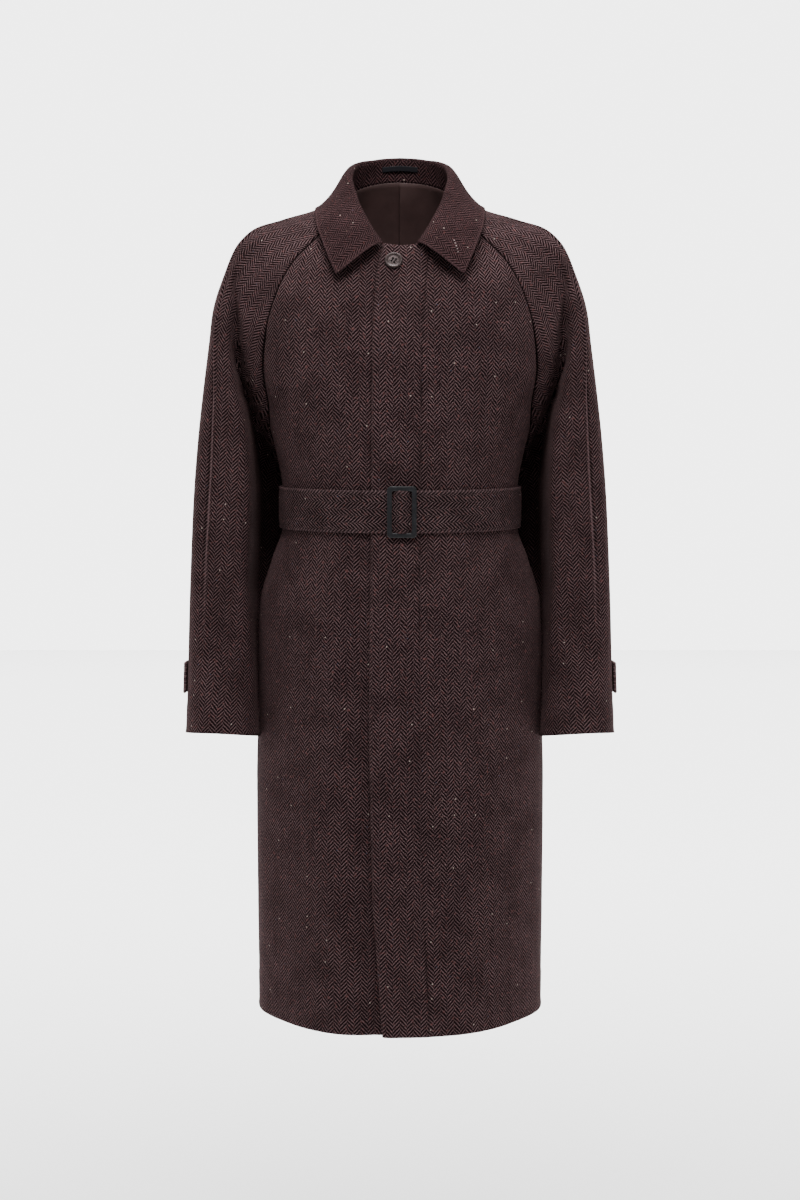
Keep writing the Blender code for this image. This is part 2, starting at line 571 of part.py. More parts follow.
def main():
    for old in list(bpy.data.objects):
        bpy.data.objects.remove(old, do_unlink=True)

    tweed = material("tweed", (0.050, 0.027, 0.028), 0.92)
    collar_tweed = material("collar_tweed", (0.055, 0.030, 0.031), 0.92)
    belt_tweed = material("belt_tweed", (0.040, 0.024, 0.024), 0.92)
    satin = material("lining_cloth", (0.022, 0.012, 0.011), 0.6)
    navy = material("loop_cloth", (0.012, 0.011, 0.016), 0.8)
    horn = material("horn", (0.10, 0.085, 0.082), 0.4)
    black = material("buckle_black", (0.022, 0.021, 0.023), 0.45)

    half_gap = SEAM_GAP / 2

    # Body panels
    left = front_left()
    left_away = normals(left)
    right = front_right()
    right_away = normals(right)
    behind = back()
    behind_away = normals(behind)
    sides = slice(0, len(SKIRT_HEIGHTS) + 1)
    left_away[sides, -1] = unit(left_away[sides, -1] + behind_away[sides, 0])
    behind_away[sides, 0] = left_away[sides, -1]
    right_away[:, 0] = left_away[:, -1] * np.array([-1.0, 1.0, 1.0])
    behind_away[:, -1] = behind_away[:, 0] * np.array([-1.0, 1.0, 1.0])
    left_inner = left - left_away * CLOTH
    right_inner = right - right_away * CLOTH
    behind_inner = behind - behind_away * CLOTH
    wall("front_left", drawn_in(left, right=half_gap), drawn_in(left_inner, right=half_gap), tweed)
    wall("front_right", drawn_in(right, left=half_gap), drawn_in(right_inner, left=half_gap), tweed)
    wall("back", drawn_in(behind, half_gap, half_gap), drawn_in(behind_inner, half_gap, half_gap), tweed)

    # Sleeves, with rows from the cuff up
    raglan = np.linspace(0.0, 1.0, RAGLAN_ROWS)
    tube = np.linspace(1.0, 2.0, TUBE_ROWS)
    along = np.concatenate([raglan, tube[1:]])[::-1]
    (front, front_away), (rear, rear_away) = sleeve(SLEEVE_FRONT_COLUMNS, SLEEVE_BACK_COLUMNS, along)
    for away, column, panel_away in ((front_away, 0, left_away[:, -1]), (rear_away, -1, behind_away[:, 0])):
        panel = panel_away[len(SKIRT_HEIGHTS):]
        share = ease((0.75 - raglan[::-1]) / 0.35)[:, None]
        rows = slice(len(along) - RAGLAN_ROWS, None)
        away[rows, column] = unit(share * panel + (1 - share) * away[rows, column])
    front_inner = front - front_away * CLOTH
    rear_inner = rear - rear_away * CLOTH
    for side, turn_over in (("left", lambda grid: grid), ("right", mirrored)):
        wall("sleeve_front_" + side, turn_over(drawn_in(front, half_gap, half_gap)),
             turn_over(drawn_in(front_inner, half_gap, half_gap)), tweed, side == "right")
        wall("sleeve_back_" + side, turn_over(drawn_in(rear, half_gap, half_gap)),
             turn_over(drawn_in(rear_inner, half_gap, half_gap)), tweed, side == "right")

    # Collar leaf and stand
    around = np.linspace(0, 1, COLLAR_COLUMNS // 2 + 1)
    leaf = both_halves(collar_leaf(around))
    leaf_away = -normals(leaf)
    leaf_away[0] = -both_halves(collar_guides(around)[2][None])[0]
    wall("collar_leaf", leaf, leaf - leaf_away * COLLAR_CLOTH, collar_tweed)

    stand_around = around[1:]
    neck = neck_edge(left_inner, front_inner, rear_inner, behind_inner)
    start = int(np.argmax(neck[:, 0] > 0.0235))
    base = along_line(neck[start:], stand_around)
    outer_base = along_line(neck_edge(left, front, rear, behind)[start:], stand_around)
    lift = unit(np.cross(np.gradient(base, axis=0), base - outer_base)) * STAND_GAP
    lift *= np.sign(lift[:, 2:3])
    base_away = unit(both_halves((outer_base - base)[None])[0])
    base = base + lift
    roll, edge, outward = collar_guides(stand_around)
    top = roll - np.array([0.0, 0.0, ROLL_RADIUS + SEAM_GAP]) - outward * ROLL_RADIUS
    stand = both_halves(np.stack([base + (top - base) * t for t in np.linspace(0, 1, 4)], axis=0))
    stand_away = normals(stand)
    stand_away[0] = base_away
    stand_away[-1] = both_halves(outward[None])[0]
    wall("collar_stand", stand, stand + stand_away * CLOTH, collar_tweed)

    # Belt, laid on the points of the panels at its own height, its two ends meeting behind the buckle
    low = SKIRT_HEIGHTS.index(BELT_BOTTOM)
    rows = slice(low, low + 3)
    butt = BUCKLE_X - BUCKLE_WIDTH / 2 + BUCKLE_RAIL / 2
    window = BUCKLE_WIDTH / 2 - BUCKLE_RAIL
    over_bar = np.array([-window, -0.0090, -0.0060, -0.0028, 0.0028, 0.0060, 0.0090, window, 0.0185])
    over_bar += BUCKLE_X
    started = np.concatenate([[butt + half_gap], over_bar])
    beyond = left[low, :, 0] > started[-1] + 0.004
    clear = right[low, :, 0] < left[low, 0, 0] - 0.012
    closing = np.array([left[low, 0, 0], -0.0200, butt - half_gap])
    ring = []
    for panel, under, other in ((left, behind, right), (left_away, behind_away, right_away)):
        begin = at_x(left[rows], panel[rows], started)
        end = at_x(left[rows], panel[rows], closing)
        ring.append(np.concatenate(
            [begin, panel[rows, beyond], under[rows, 1:], other[rows][:, clear][:, 1:], end], axis=1))
    belt, belt_away = ring[0], unit(ring[1])
    rise = np.zeros(belt.shape[1])
    rise[:len(started)] = BELT_RISE * ease((window - np.abs(started - BUCKLE_X)) / 0.0092)
    belt = belt + belt_away * (SEAM_GAP + rise[None, :, None])
    wall("belt", belt, belt + belt_away * BELT_CLOTH, belt_tweed)

    # Buckle frame in front of the belt, with its bar behind
    behind_frame = np.concatenate([belt[:, :2, 1], belt[:, 8:10, 1], belt[:, -2:, 1]], axis=1)
    face = behind_frame.min() - BELT_CLOTH - 2 * SEAM_GAP
    bar_front = belt[:, 4:6, 1].max() + SEAM_GAP
    buckle(face, bar_front, black)

    # Top button on the left front, just above the lapped edge
    spot = at_x(left[-4:], left[-4:], np.array([BUTTON_X]))[:, 0]
    spot_away = at_x(left[-4:], left_away[-4:], np.array([BUTTON_X]))[:, 0]
    centre = np.array([np.interp(BUTTON_Z, spot[:, 2], spot[:, i]) for i in range(3)])
    out = unit(np.array([np.interp(BUTTON_Z, spot[:, 2], spot_away[:, i]) for i in range(3)]))
    level = unit(np.cross(np.array([0.0, 0.0, 1.0]), out))
    turned("button", button_profile(BUTTON_WIDTH, BUTTON_DEPTH), centre + out * 0.0009,
           level, np.cross(out, level), out, 20, horn)

    # Cuff tabs on the back half of each sleeve
    heights = np.array([TAB_LOW, (TAB_LOW + TAB_HIGH) / 2, TAB_HIGH])
    tab = between_rows(rear, along, heights)
    tab_away = unit(between_rows(rear_away, along, heights))
    outermost = 3
    end = tab[:, outermost] + (tab[:, outermost - 1] - tab[:, outermost]) * TAB_END
    tab = np.concatenate([end[:, None], tab[:, outermost:-2]], axis=1)
    tab_away = np.concatenate([tab_away[:, outermost:outermost + 1], tab_away[:, outermost:-2]], axis=1)
    lift = 4 * SEAM_GAP + TAB_LIFT * ease(1 - np.arange(tab.shape[1]) / 3.5)
    tab = tab + tab_away * lift[None, :, None]
    for side, turn_over in (("left", lambda grid: grid), ("right", mirrored)):
        wall("cuff_tab_" + side, turn_over(tab), turn_over(tab + tab_away * TAB_CLOTH), tweed,
             side == "right")

    # Lining of the back, in two halves with a pleat at the centre, and the hanger loop above it
    top = slice(len(SKIRT_HEIGHTS), None)
    middle = behind.shape[1] // 2
    lining = behind_inner[top] - behind_away[top] * LINING_GAP
    step = CLOTH * ease(1 - np.abs(np.arange(lining.shape[1]) - middle) / 3.0)
    over = lining - behind_away[top] * step[None, :, None]
    inside = -behind_away[top] * LINING_CLOTH
    under = lining[:, middle - 1:]
    under_inside = inside[:, middle - 1:]
    share = LINING_LAP / np.abs(lining[:, middle - 1, 0:1])
    under = under.copy()
    under[:, 0] = under[:, 1] + (under[:, 0] - under[:, 1]) * share
    wall("lining_left", drawn_in(over[:, :middle + 1], left=0.001),
         drawn_in((over + inside)[:, :middle + 1], left=0.001), satin)
    wall("lining_right", drawn_in(under, right=0.001), drawn_in(under + under_inside, right=0.001), satin)

    mid = stand.shape[1] // 2
    strip = stand[:, mid - 2:mid + 3].copy()
    strip_away = stand_away[:, mid - 2:mid + 3]
    for side, inner in ((0, 1), (-1, -2)):
        reach = np.abs(strip[:, side, 0:1] - strip[:, inner, 0:1])
        share = (LOOP_HALF - np.abs(strip[:, inner, 0:1])) / reach
        strip[:, side] = strip[:, inner] + (strip[:, side] - strip[:, inner]) * share
    bottom, height = strip[0], strip[-1] - strip[0]
    loop = np.stack([bottom + height * t for t in (LOOP_LOW, LOOP_HIGH)], axis=0)
    loop_away = strip_away[1:3]
    loop = loop - loop_away * 2 * SEAM_GAP
    wall("hanger_loop", loop, loop - loop_away * LOOP_CLOTH, navy)


main()
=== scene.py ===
# %% [markdown]
# # A belted tweed topcoat
# The coat is a hollow garment of herringbone tweed, filled out as it is when worn. The solid model is loaded
# first, because every piece below lies on it.

# %% Load the solid model
import math
from collections import namedtuple

import bmesh
import bpy
import numpy as np
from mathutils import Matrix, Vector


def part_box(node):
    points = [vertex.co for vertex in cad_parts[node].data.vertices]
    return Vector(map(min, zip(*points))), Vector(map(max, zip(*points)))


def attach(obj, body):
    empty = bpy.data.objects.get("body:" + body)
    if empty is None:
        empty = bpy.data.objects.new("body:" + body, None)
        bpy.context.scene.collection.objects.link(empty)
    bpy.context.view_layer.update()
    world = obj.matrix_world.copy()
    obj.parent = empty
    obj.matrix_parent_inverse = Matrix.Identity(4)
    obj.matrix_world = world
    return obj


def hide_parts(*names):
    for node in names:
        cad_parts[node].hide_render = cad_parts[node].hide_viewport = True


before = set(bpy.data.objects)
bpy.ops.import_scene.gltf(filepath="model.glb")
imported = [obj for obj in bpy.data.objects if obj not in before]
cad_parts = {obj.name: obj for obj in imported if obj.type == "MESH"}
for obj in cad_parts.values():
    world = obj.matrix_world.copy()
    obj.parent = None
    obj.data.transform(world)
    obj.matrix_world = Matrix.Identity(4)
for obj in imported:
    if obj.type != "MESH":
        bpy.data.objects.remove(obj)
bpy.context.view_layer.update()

# %% [markdown]
# ## Sizes
# A coat is cut from flat panels, but its worn form is easier to give as sections: a row for each height of the
# body, a row for each place along the raglan seams and the sleeve, and a row for each place round the collar.
# The same rows shape the solids, so the cloth made here lies where they are, only finer. The sleeves and the
# collar depart from the solids by some millimetres, where their own cells say so.

# %% Cloth, lap and body
CLOTH = 0.0022
LINING_CLOTH = 0.0012
COLLAR_CLOTH = 0.0026
BELT_CLOTH = 0.0036
TAB_CLOTH = 0.0030
SEAM_GAP = 0.0003
LAP_GAP = 0.0010
STAND_GAP = 0.0008
UNDERLAP = 0.036
LAP_BLEND = 0.034
LapRow = namedtuple("LapRow", "z edge_x")
LAP = [
    LapRow(-1.050, -0.0220), LapRow(-0.960, -0.0285), LapRow(-0.870, -0.0345), LapRow(-0.640, -0.0385),
    LapRow(-0.400, -0.0365), LapRow(-0.200, -0.0345), LapRow(-0.090, -0.0285), LapRow(-0.056, -0.0208),
]
BodyRow = namedtuple("BodyRow", "z side_x front_y back_y")
BODY = [
    BodyRow(-1.050, 0.1875, -0.180, 0.170),
    BodyRow(-0.900, 0.1890, -0.176, 0.166),
    BodyRow(-0.750, 0.1895, -0.171, 0.163),
    BodyRow(-0.650, 0.1870, -0.165, 0.160),
    BodyRow(-0.560, 0.1860, -0.156, 0.152),
    BodyRow(-0.517, 0.1840, -0.150, 0.147),
    BodyRow(-0.455, 0.1670, -0.137, 0.132),
    BodyRow(-0.4165, 0.1545, -0.127, 0.121),
    BodyRow(-0.3645, 0.1545, -0.127, 0.121),
    BodyRow(-0.324, 0.1610, -0.131, 0.128),
    BodyRow(-0.2877, 0.1697, -0.134, 0.134),
]
SIDE_Y = 0.005
HEM_Z = -1.050
UNDERARM_Z = -0.2877
BELT_BOTTOM = -0.4165
BELT_TOP = -0.3645
print("hem", HEM_Z, "belt", BELT_BOTTOM, BELT_TOP)

# %% Raglan seams, sleeves and collar
SeamRow = namedtuple("SeamRow", "along x y z centre_y centre_z turn")
FRONT_RAGLAN = [
    SeamRow(0.00, 0.0800, -0.030, -0.0120, -0.078, -0.056, 52),
    SeamRow(0.12, 0.1047, -0.045, -0.0410, -0.091, -0.077, 58),
    SeamRow(0.28, 0.1373, -0.062, -0.0760, -0.106, -0.107, 64),
    SeamRow(0.41, 0.1580, -0.070, -0.1155, -0.117, -0.138, 69),
    SeamRow(0.55, 0.1706, -0.065, -0.1580, -0.126, -0.174, 75),
    SeamRow(0.71, 0.1756, -0.050, -0.2110, -0.132, -0.216, 81),
    SeamRow(0.90, 0.1695, -0.020, -0.2640, -0.134, -0.264, 87),
    SeamRow(1.00, 0.1697, 0.005, -0.2877, -0.134, -0.2877, 90),
]
BACK_RAGLAN = [
    SeamRow(0.00, 0.0660, 0.070, 0.0220, 0.098, 0.038, 55),
    SeamRow(0.12, 0.0880, 0.086, -0.0150, 0.114, 0.000, 58),
    SeamRow(0.28, 0.1220, 0.097, -0.0680, 0.128, -0.050, 62),
    SeamRow(0.41, 0.1460, 0.096, -0.1080, 0.135, -0.096, 68),
    SeamRow(0.55, 0.1640, 0.087, -0.1540, 0.138, -0.150, 74),
    SeamRow(0.71, 0.1740, 0.067, -0.2080, 0.138, -0.206, 80),
    SeamRow(0.90, 0.1700, 0.030, -0.2630, 0.136, -0.262, 87),
    SeamRow(1.00, 0.1697, 0.005, -0.2877, 0.134, -0.2877, 90),
]
SleeveRow = namedtuple("SleeveRow", "along x y z front_out front_in back_out back_in seam")
SLEEVE = [
    SleeveRow(0.00, 0.0800, 0.0100, 0.0060, 0.014, 0.012, 0.020, 0.018, 0.03),
    SleeveRow(0.12, 0.1130, 0.0085, -0.0047, 0.022, 0.020, 0.030, 0.026, 0.03),
    SleeveRow(0.28, 0.1530, 0.0068, -0.0175, 0.036, 0.030, 0.042, 0.036, 0.04),
    SleeveRow(0.41, 0.1850, 0.0045, -0.0290, 0.048, 0.038, 0.054, 0.044, 0.08),
    SleeveRow(0.55, 0.2095, 0.0015, -0.0490, 0.060, 0.042, 0.068, 0.052, 0.14),
    SleeveRow(0.71, 0.2275, -0.0035, -0.0890, 0.078, 0.030, 0.086, 0.040, 0.19),
    SleeveRow(0.90, 0.2425, -0.0090, -0.1380, 0.094, 0.028, 0.102, 0.044, 0.22),
    SleeveRow(1.00, 0.2470, -0.0110, -0.1750, 0.098, 0.034, 0.106, 0.058, 0.24),
    SleeveRow(1.12, 0.2550, -0.0135, -0.2370, 0.100, 0.046, 0.108, 0.066, 0.27),
    SleeveRow(1.25, 0.2625, -0.0160, -0.3040, 0.098, 0.054, 0.108, 0.088, 0.29),
    SleeveRow(1.40, 0.2685, -0.0190, -0.3810, 0.096, 0.060, 0.106, 0.088, 0.30),
    SleeveRow(1.55, 0.2720, -0.0230, -0.4580, 0.092, 0.066, 0.102, 0.086, 0.30),
    SleeveRow(1.70, 0.2745, -0.0290, -0.5350, 0.086, 0.072, 0.098, 0.082, 0.30),
    SleeveRow(1.85, 0.2758, -0.0390, -0.6120, 0.082, 0.078, 0.090, 0.082, 0.30),
    SleeveRow(2.00, 0.2775, -0.0500, -0.6890, 0.078, 0.080, 0.084, 0.082, 0.30),
]
InnerRow = namedtuple("InnerRow", "along x y z lean")
UNDERARM = [
    InnerRow(1.00, 0.1697, 0.005, -0.2877, 0.35),
    InnerRow(1.12, 0.1600, 0.044, -0.3350, 0.30),
    InnerRow(1.25, 0.1590, 0.062, -0.3880, 0.25),
    InnerRow(1.40, 0.1660, 0.070, -0.4480, 0.20),
    InnerRow(1.55, 0.1820, 0.054, -0.5080, 0.00),
    InnerRow(1.70, 0.1905, 0.020, -0.5680, -0.15),
    InnerRow(1.85, 0.1905, -0.014, -0.6300, -0.15),
    InnerRow(2.00, 0.1878, -0.046, -0.6940, -0.08),
]
CUFF_RISE = 0.009
CollarRow = namedtuple("CollarRow", "around roll_x roll_y roll_z edge_x edge_y edge_z")
COLLAR = [
    CollarRow(0.00, 0.0235, -0.0805, -0.0515, 0.0800, -0.1070, -0.0920),
    CollarRow(0.17, 0.0425, -0.0570, -0.0210, 0.0945, -0.0810, -0.0580),
    CollarRow(0.36, 0.0573, -0.0200, 0.0120, 0.1070, -0.0420, -0.0215),
    CollarRow(0.55, 0.0620, 0.0200, 0.0400, 0.1100, 0.0100, 0.0030),
    CollarRow(0.70, 0.0575, 0.0550, 0.0570, 0.0960, 0.0640, 0.0120),
    CollarRow(0.84, 0.0400, 0.0860, 0.0692, 0.0640, 0.1060, 0.0140),
    CollarRow(0.92, 0.0205, 0.0985, 0.0704, 0.0330, 0.1190, 0.0125),
    CollarRow(1.00, 0.0000, 0.1020, 0.0705, 0.0000, 0.1225, 0.0120),
]
ROLL_RADIUS = 0.0040
print("sections", len(BODY), "body", len(SLEEVE), "sleeve", len(COLLAR), "collar")

# %% [markdown]
# ## From sections to smooth surfaces
# The rows are joined by a curve that passes through each of them and adds no bumps of its own, the way a
# pattern cutter runs a curve ruler through marked points. A grid of points on such curves is one face of the
# cloth. Its columns run to the right and its rows run up, so that its normals point out of the coat.

# %% Curves and grids
def smooth(rows, along, name, at):
    x = np.array([getattr(row, along) for row in rows], float)
    y = np.array([getattr(row, name) for row in rows], float)
    steps = np.diff(x)
    slopes = np.diff(y) / steps
    same_way = slopes[:-1] * slopes[1:] > 0
    total = np.where(same_way, slopes[:-1] + slopes[1:], 1.0)
    bends = np.where(same_way, 2 * slopes[:-1] * slopes[1:] / total, 0.0)
    tangents = np.concatenate([slopes[:1], bends, slopes[-1:]])
    at = np.clip(np.asarray(at, float), x[0], x[-1])
    i = np.clip(np.searchsorted(x, at, side="right") - 1, 0, len(steps) - 1)
    t = (at - x[i]) / steps[i]
    rise = y[i] + t * t * (3 - 2 * t) * (y[i + 1] - y[i])
    return rise + steps[i] * (t * (1 - t) ** 2 * tangents[i] - t * t * (1 - t) * tangents[i + 1])


def points(rows, along, names, at):
    return np.stack([smooth(rows, along, name, at) for name in names], axis=-1)


def ease(value):
    value = np.clip(value, 0.0, 1.0)
    return value * value * (3 - 2 * value)


def bell(off, width):
    """A soft bump: 1 where off is 0, fading to nothing on both sides."""
    return np.exp(-(off / width) ** 2)


def unit(vectors):
    return vectors / np.maximum(np.linalg.norm(vectors, axis=-1, keepdims=True), 1e-12)


def mirrored(grid):
    return (grid * np.array([-1.0, 1.0, 1.0]))[:, ::-1]


def as_made(grid):
    return grid


def both_halves(half):
    return np.concatenate([half, mirrored(half)[:, 1:]], axis=1)


def normals(grid):
    return unit(np.cross(np.gradient(grid, axis=1), np.gradient(grid, axis=0)))


def run_length(grid, axis):
    """Length of cloth from the first column or row to each point."""
    steps = np.linalg.norm(np.diff(grid, axis=axis), axis=-1)
    start = np.zeros_like(np.take(steps, [0], axis=axis))
    return np.concatenate([start, np.cumsum(steps, axis=axis)], axis=axis)


def row_length(grid):
    return run_length(grid, 1)[:, -1:]


SIDES = (("left", as_made), ("right", mirrored))
print("pieces in pairs are made on the left:", [side for side, _ in SIDES])

# %% [markdown]
# ## Tweed
# The cloth is a dark brown herringbone: upright stripes of slanting twill lines that change direction at each
# stripe, woven from mixed yarn with a few pale, rust and blue flecks. A picture of cloth could be laid on the
# panels, but the weave is a simple rule, so it is drawn by nodes instead. They read a UV map that holds each
# point's place on the flat cut panel in metres, so the stripes keep their true width on every piece.

# %% Node helpers
def value_node(tree, kind, *inputs, clamp=False):
    node = tree.nodes.new("ShaderNodeMath")
    node.operation = kind
    node.use_clamp = clamp
    for socket, given in zip(node.inputs, inputs):
        if isinstance(given, (int, float)):
            socket.default_value = given
        else:
            tree.links.new(given, socket)
    return node.outputs[0]


def mixed(tree, share, first, second, blend="MIX"):
    node = tree.nodes.new("ShaderNodeMix")
    node.data_type = "RGBA"
    node.blend_type = blend
    for socket, given in ((node.inputs[0], share), (node.inputs[6], first), (node.inputs[7], second)):
        if isinstance(given, tuple):
            socket.default_value = (*given, 1.0)
        elif isinstance(given, (int, float)):
            socket.default_value = given
        else:
            tree.links.new(given, socket)
    return node.outputs[2]


def noise(tree, place, scale, detail=2.0, roughness=0.5):
    node = tree.nodes.new("ShaderNodeTexNoise")
    node.inputs["Scale"].default_value = scale
    node.inputs["Detail"].default_value = detail
    node.inputs["Roughness"].default_value = roughness
    tree.links.new(place, node.inputs["Vector"])
    return node.outputs["Fac"]


def mapped(tree, value, low, high, to_low=0.0, to_high=1.0):
    node = tree.nodes.new("ShaderNodeMapRange")
    node.interpolation_type = "SMOOTHSTEP"
    tree.links.new(value, node.inputs["Value"])
    for name, given in (("From Min", low), ("From Max", high), ("To Min", to_low), ("To Max", to_high)):
        node.inputs[name].default_value = given
    return node.outputs["Result"]


def new_finish(name, roughness, specular):
    made = bpy.data.materials.new(name)
    made.use_nodes = True
    shader = made.node_tree.nodes["Principled BSDF"]
    shader.inputs["Roughness"].default_value = roughness
    shader.inputs["Specular IOR Level"].default_value = specular
    return made, made.node_tree, shader


def add_bump(tree, shader, height, strength, distance):
    bump = tree.nodes.new("ShaderNodeBump")
    bump.inputs["Strength"].default_value = strength
    bump.inputs["Distance"].default_value = distance
    tree.links.new(height, bump.inputs["Height"])
    tree.links.new(bump.outputs["Normal"], shader.inputs["Normal"])


def cloth_place(tree):
    """Each point's place on the flat cut, from the UV map that the panels carry."""
    uv = tree.nodes.new("ShaderNodeUVMap")
    uv.uv_map = "cloth"
    return uv.outputs["UV"]


# %% Herringbone tweed
STRIPE_PAIR = 0.0172
TWILL_STEP = 0.0050
TWILL_RISE = 1.85


def flecks(tree, place, scale, size, share, seed):
    """A mask of small dots: one in some of the cells of a random pattern."""
    cells = tree.nodes.new("ShaderNodeTexVoronoi")
    cells.voronoi_dimensions = "2D"
    cells.inputs["Scale"].default_value = scale
    moved = tree.nodes.new("ShaderNodeVectorMath")
    moved.operation = "ADD"
    tree.links.new(place, moved.inputs[0])
    moved.inputs[1].default_value = (seed * 1.7, seed * 0.9, seed)
    tree.links.new(moved.outputs[0], cells.inputs["Vector"])
    near = mapped(tree, cells.outputs["Distance"], size * scale, size * scale * 0.45)
    pick = tree.nodes.new("ShaderNodeSeparateColor")
    tree.links.new(cells.outputs["Color"], pick.inputs["Color"])
    chosen = value_node(tree, "LESS_THAN", pick.outputs["Red"], share)
    return value_node(tree, "MULTIPLY", near, chosen)


def herringbone(tree, place):
    """Heights of the twill lines, from 0 in the dark lines to 1 on the light ones."""
    apart = tree.nodes.new("ShaderNodeSeparateXYZ")
    tree.links.new(place, apart.inputs[0])
    wobble = value_node(tree, "SUBTRACT", noise(tree, place, 95.0), 0.5)
    across = value_node(tree, "MULTIPLY_ADD", wobble, 0.0022, apart.outputs["X"])
    along = value_node(tree, "MULTIPLY_ADD", wobble, 0.0020, apart.outputs["Y"])
    stripes = value_node(tree, "DIVIDE", across, STRIPE_PAIR)
    slant = value_node(tree, "PINGPONG", stripes, 0.5)
    halves = value_node(tree, "FLOOR", value_node(tree, "MULTIPLY", stripes, 2.0))
    odd = value_node(tree, "PINGPONG", halves, 1.0)
    climb = value_node(tree, "MULTIPLY", slant, 2 * TWILL_RISE)
    phase = value_node(tree, "MULTIPLY_ADD", along, 1.0 / TWILL_STEP, climb)
    phase = value_node(tree, "MULTIPLY_ADD", odd, 0.5, phase)
    wave = value_node(tree, "COSINE", value_node(tree, "MULTIPLY", phase, 2 * math.pi))
    return value_node(tree, "MULTIPLY_ADD", wave, 0.5, 0.5)


def tweed(name, dark, light, sheen):
    made, tree, shader = new_finish(name, 0.95, 0.02)
    shader.inputs["Sheen Weight"].default_value = sheen
    shader.inputs["Sheen Roughness"].default_value = 0.45
    shader.inputs["Sheen Tint"].default_value = (0.80, 0.50, 0.50, 1.0)
    place = cloth_place(tree)
    lines = herringbone(tree, place)
    yarn = noise(tree, place, 820.0, 2.0, 0.6)
    slub = noise(tree, place, 210.0, 3.0, 0.6)
    cloudy = noise(tree, place, 22.0, 3.0, 0.55)
    mottle = mapped(tree, yarn, 0.34, 0.64, 0.16, 1.12)
    light_share = value_node(tree, "MULTIPLY", mapped(tree, lines, 0.40, 0.92), mottle)
    colour = mixed(tree, light_share, dark, light)
    rusty = tuple(c * f for c, f in zip(light, (1.35, 0.82, 0.75)))
    colour = mixed(tree, mapped(tree, slub, 0.56, 0.72, 0.0, 0.40), colour, rusty)
    colour = mixed(tree, mapped(tree, cloudy, 0.35, 0.70, 0.0, 0.30), colour, tuple(c * 0.55 for c in dark))
    for scale, size, share, seed, tone, strength in (
        (36.0, 0.00110, 0.16, 3.0, (0.46, 0.38, 0.33), 0.85),
        (85.0, 0.00090, 0.06, 7.0, (0.20, 0.13, 0.11), 0.75),
        (60.0, 0.00100, 0.08, 11.0, (0.15, 0.045, 0.030), 0.60),
        (55.0, 0.00100, 0.06, 17.0, (0.045, 0.055, 0.085), 0.75),
    ):
        spots = value_node(tree, "MULTIPLY", flecks(tree, place, scale, size, share, seed), strength)
        colour = mixed(tree, spots, colour, tone)
    # Painted light: worn lifts the colour as a painted highlight, sunk darkens it as painted shade.
    mark = tree.nodes.new("ShaderNodeAttribute")
    mark.attribute_name = "painted_light"
    worn = mapped(tree, mark.outputs["Fac"], 0.0, 1.0)
    sunk = mapped(tree, mark.outputs["Fac"], 0.0, -1.0)
    colour = mixed(tree, value_node(tree, "MULTIPLY", worn, mottle), colour, light)
    colour = mixed(tree, sunk, colour, tuple(c * 0.25 for c in dark))
    tree.links.new(colour, shader.inputs["Base Color"])
    height = value_node(tree, "MULTIPLY_ADD", yarn, 0.8, value_node(tree, "MULTIPLY_ADD", slub, 0.5, lines))
    add_bump(tree, shader, height, 0.55, 0.0006)
    return made


coat_tweed = tweed("coat_tweed", (0.0070, 0.0034, 0.0038), (0.1680, 0.1045, 0.1085), 0.06)
# The collar and stand take the coat's tweed made darker, as painted shade.
collar_tweed = tweed("collar_tweed", (0.0075, 0.0036, 0.0040), (0.0985, 0.0540, 0.0570), 0.05)
belt_tweed = tweed("belt_tweed", (0.0050, 0.0028, 0.0030), (0.1680, 0.1080, 0.1120), 0.04)
print("tweed with stripes of", STRIPE_PAIR / 2, "m")

# %% [markdown]
# ## A panel of cloth
# A panel could be a plane with a Solidify modifier. Here both faces are placed from one grid, because
# the turned edges should be round where they show and flat where two panels meet in a seam. The UV map holds
# the flat cut, so its area is also the area of cloth that the panel takes.

# %% Panel maker
RIM_UV = 0.0008


def new_mesh(name, vertices, faces, finish, uv=None, painted_light=None):
    mesh = bpy.data.meshes.new(name)
    mesh.from_pydata([tuple(map(float, v)) for v in vertices], [], [tuple(map(int, f)) for f in faces])
    if uv is not None:
        layer = mesh.uv_layers.new(name="cloth")
        index = np.empty(len(mesh.loops), dtype=np.int32)
        mesh.loops.foreach_get("vertex_index", index)
        layer.uv.foreach_set("vector", uv[index].astype(np.float32).ravel())
    shape = bmesh.new()
    shape.from_mesh(mesh)
    bmesh.ops.recalc_face_normals(shape, faces=shape.faces)
    for face in shape.faces:
        face.smooth = True
    shape.to_mesh(mesh)
    shape.free()
    # The attribute holds painted light for the tweed: painted highlights above 0, painted shade below 0.
    if painted_light is not None:
        marks = mesh.attributes.new("painted_light", "FLOAT", "POINT")
        marks.data.foreach_set("value", painted_light.astype(np.float32))
    mesh.materials.append(finish)
    piece = bpy.data.objects.new(name, mesh)
    bpy.context.scene.collection.objects.link(piece)
    return piece


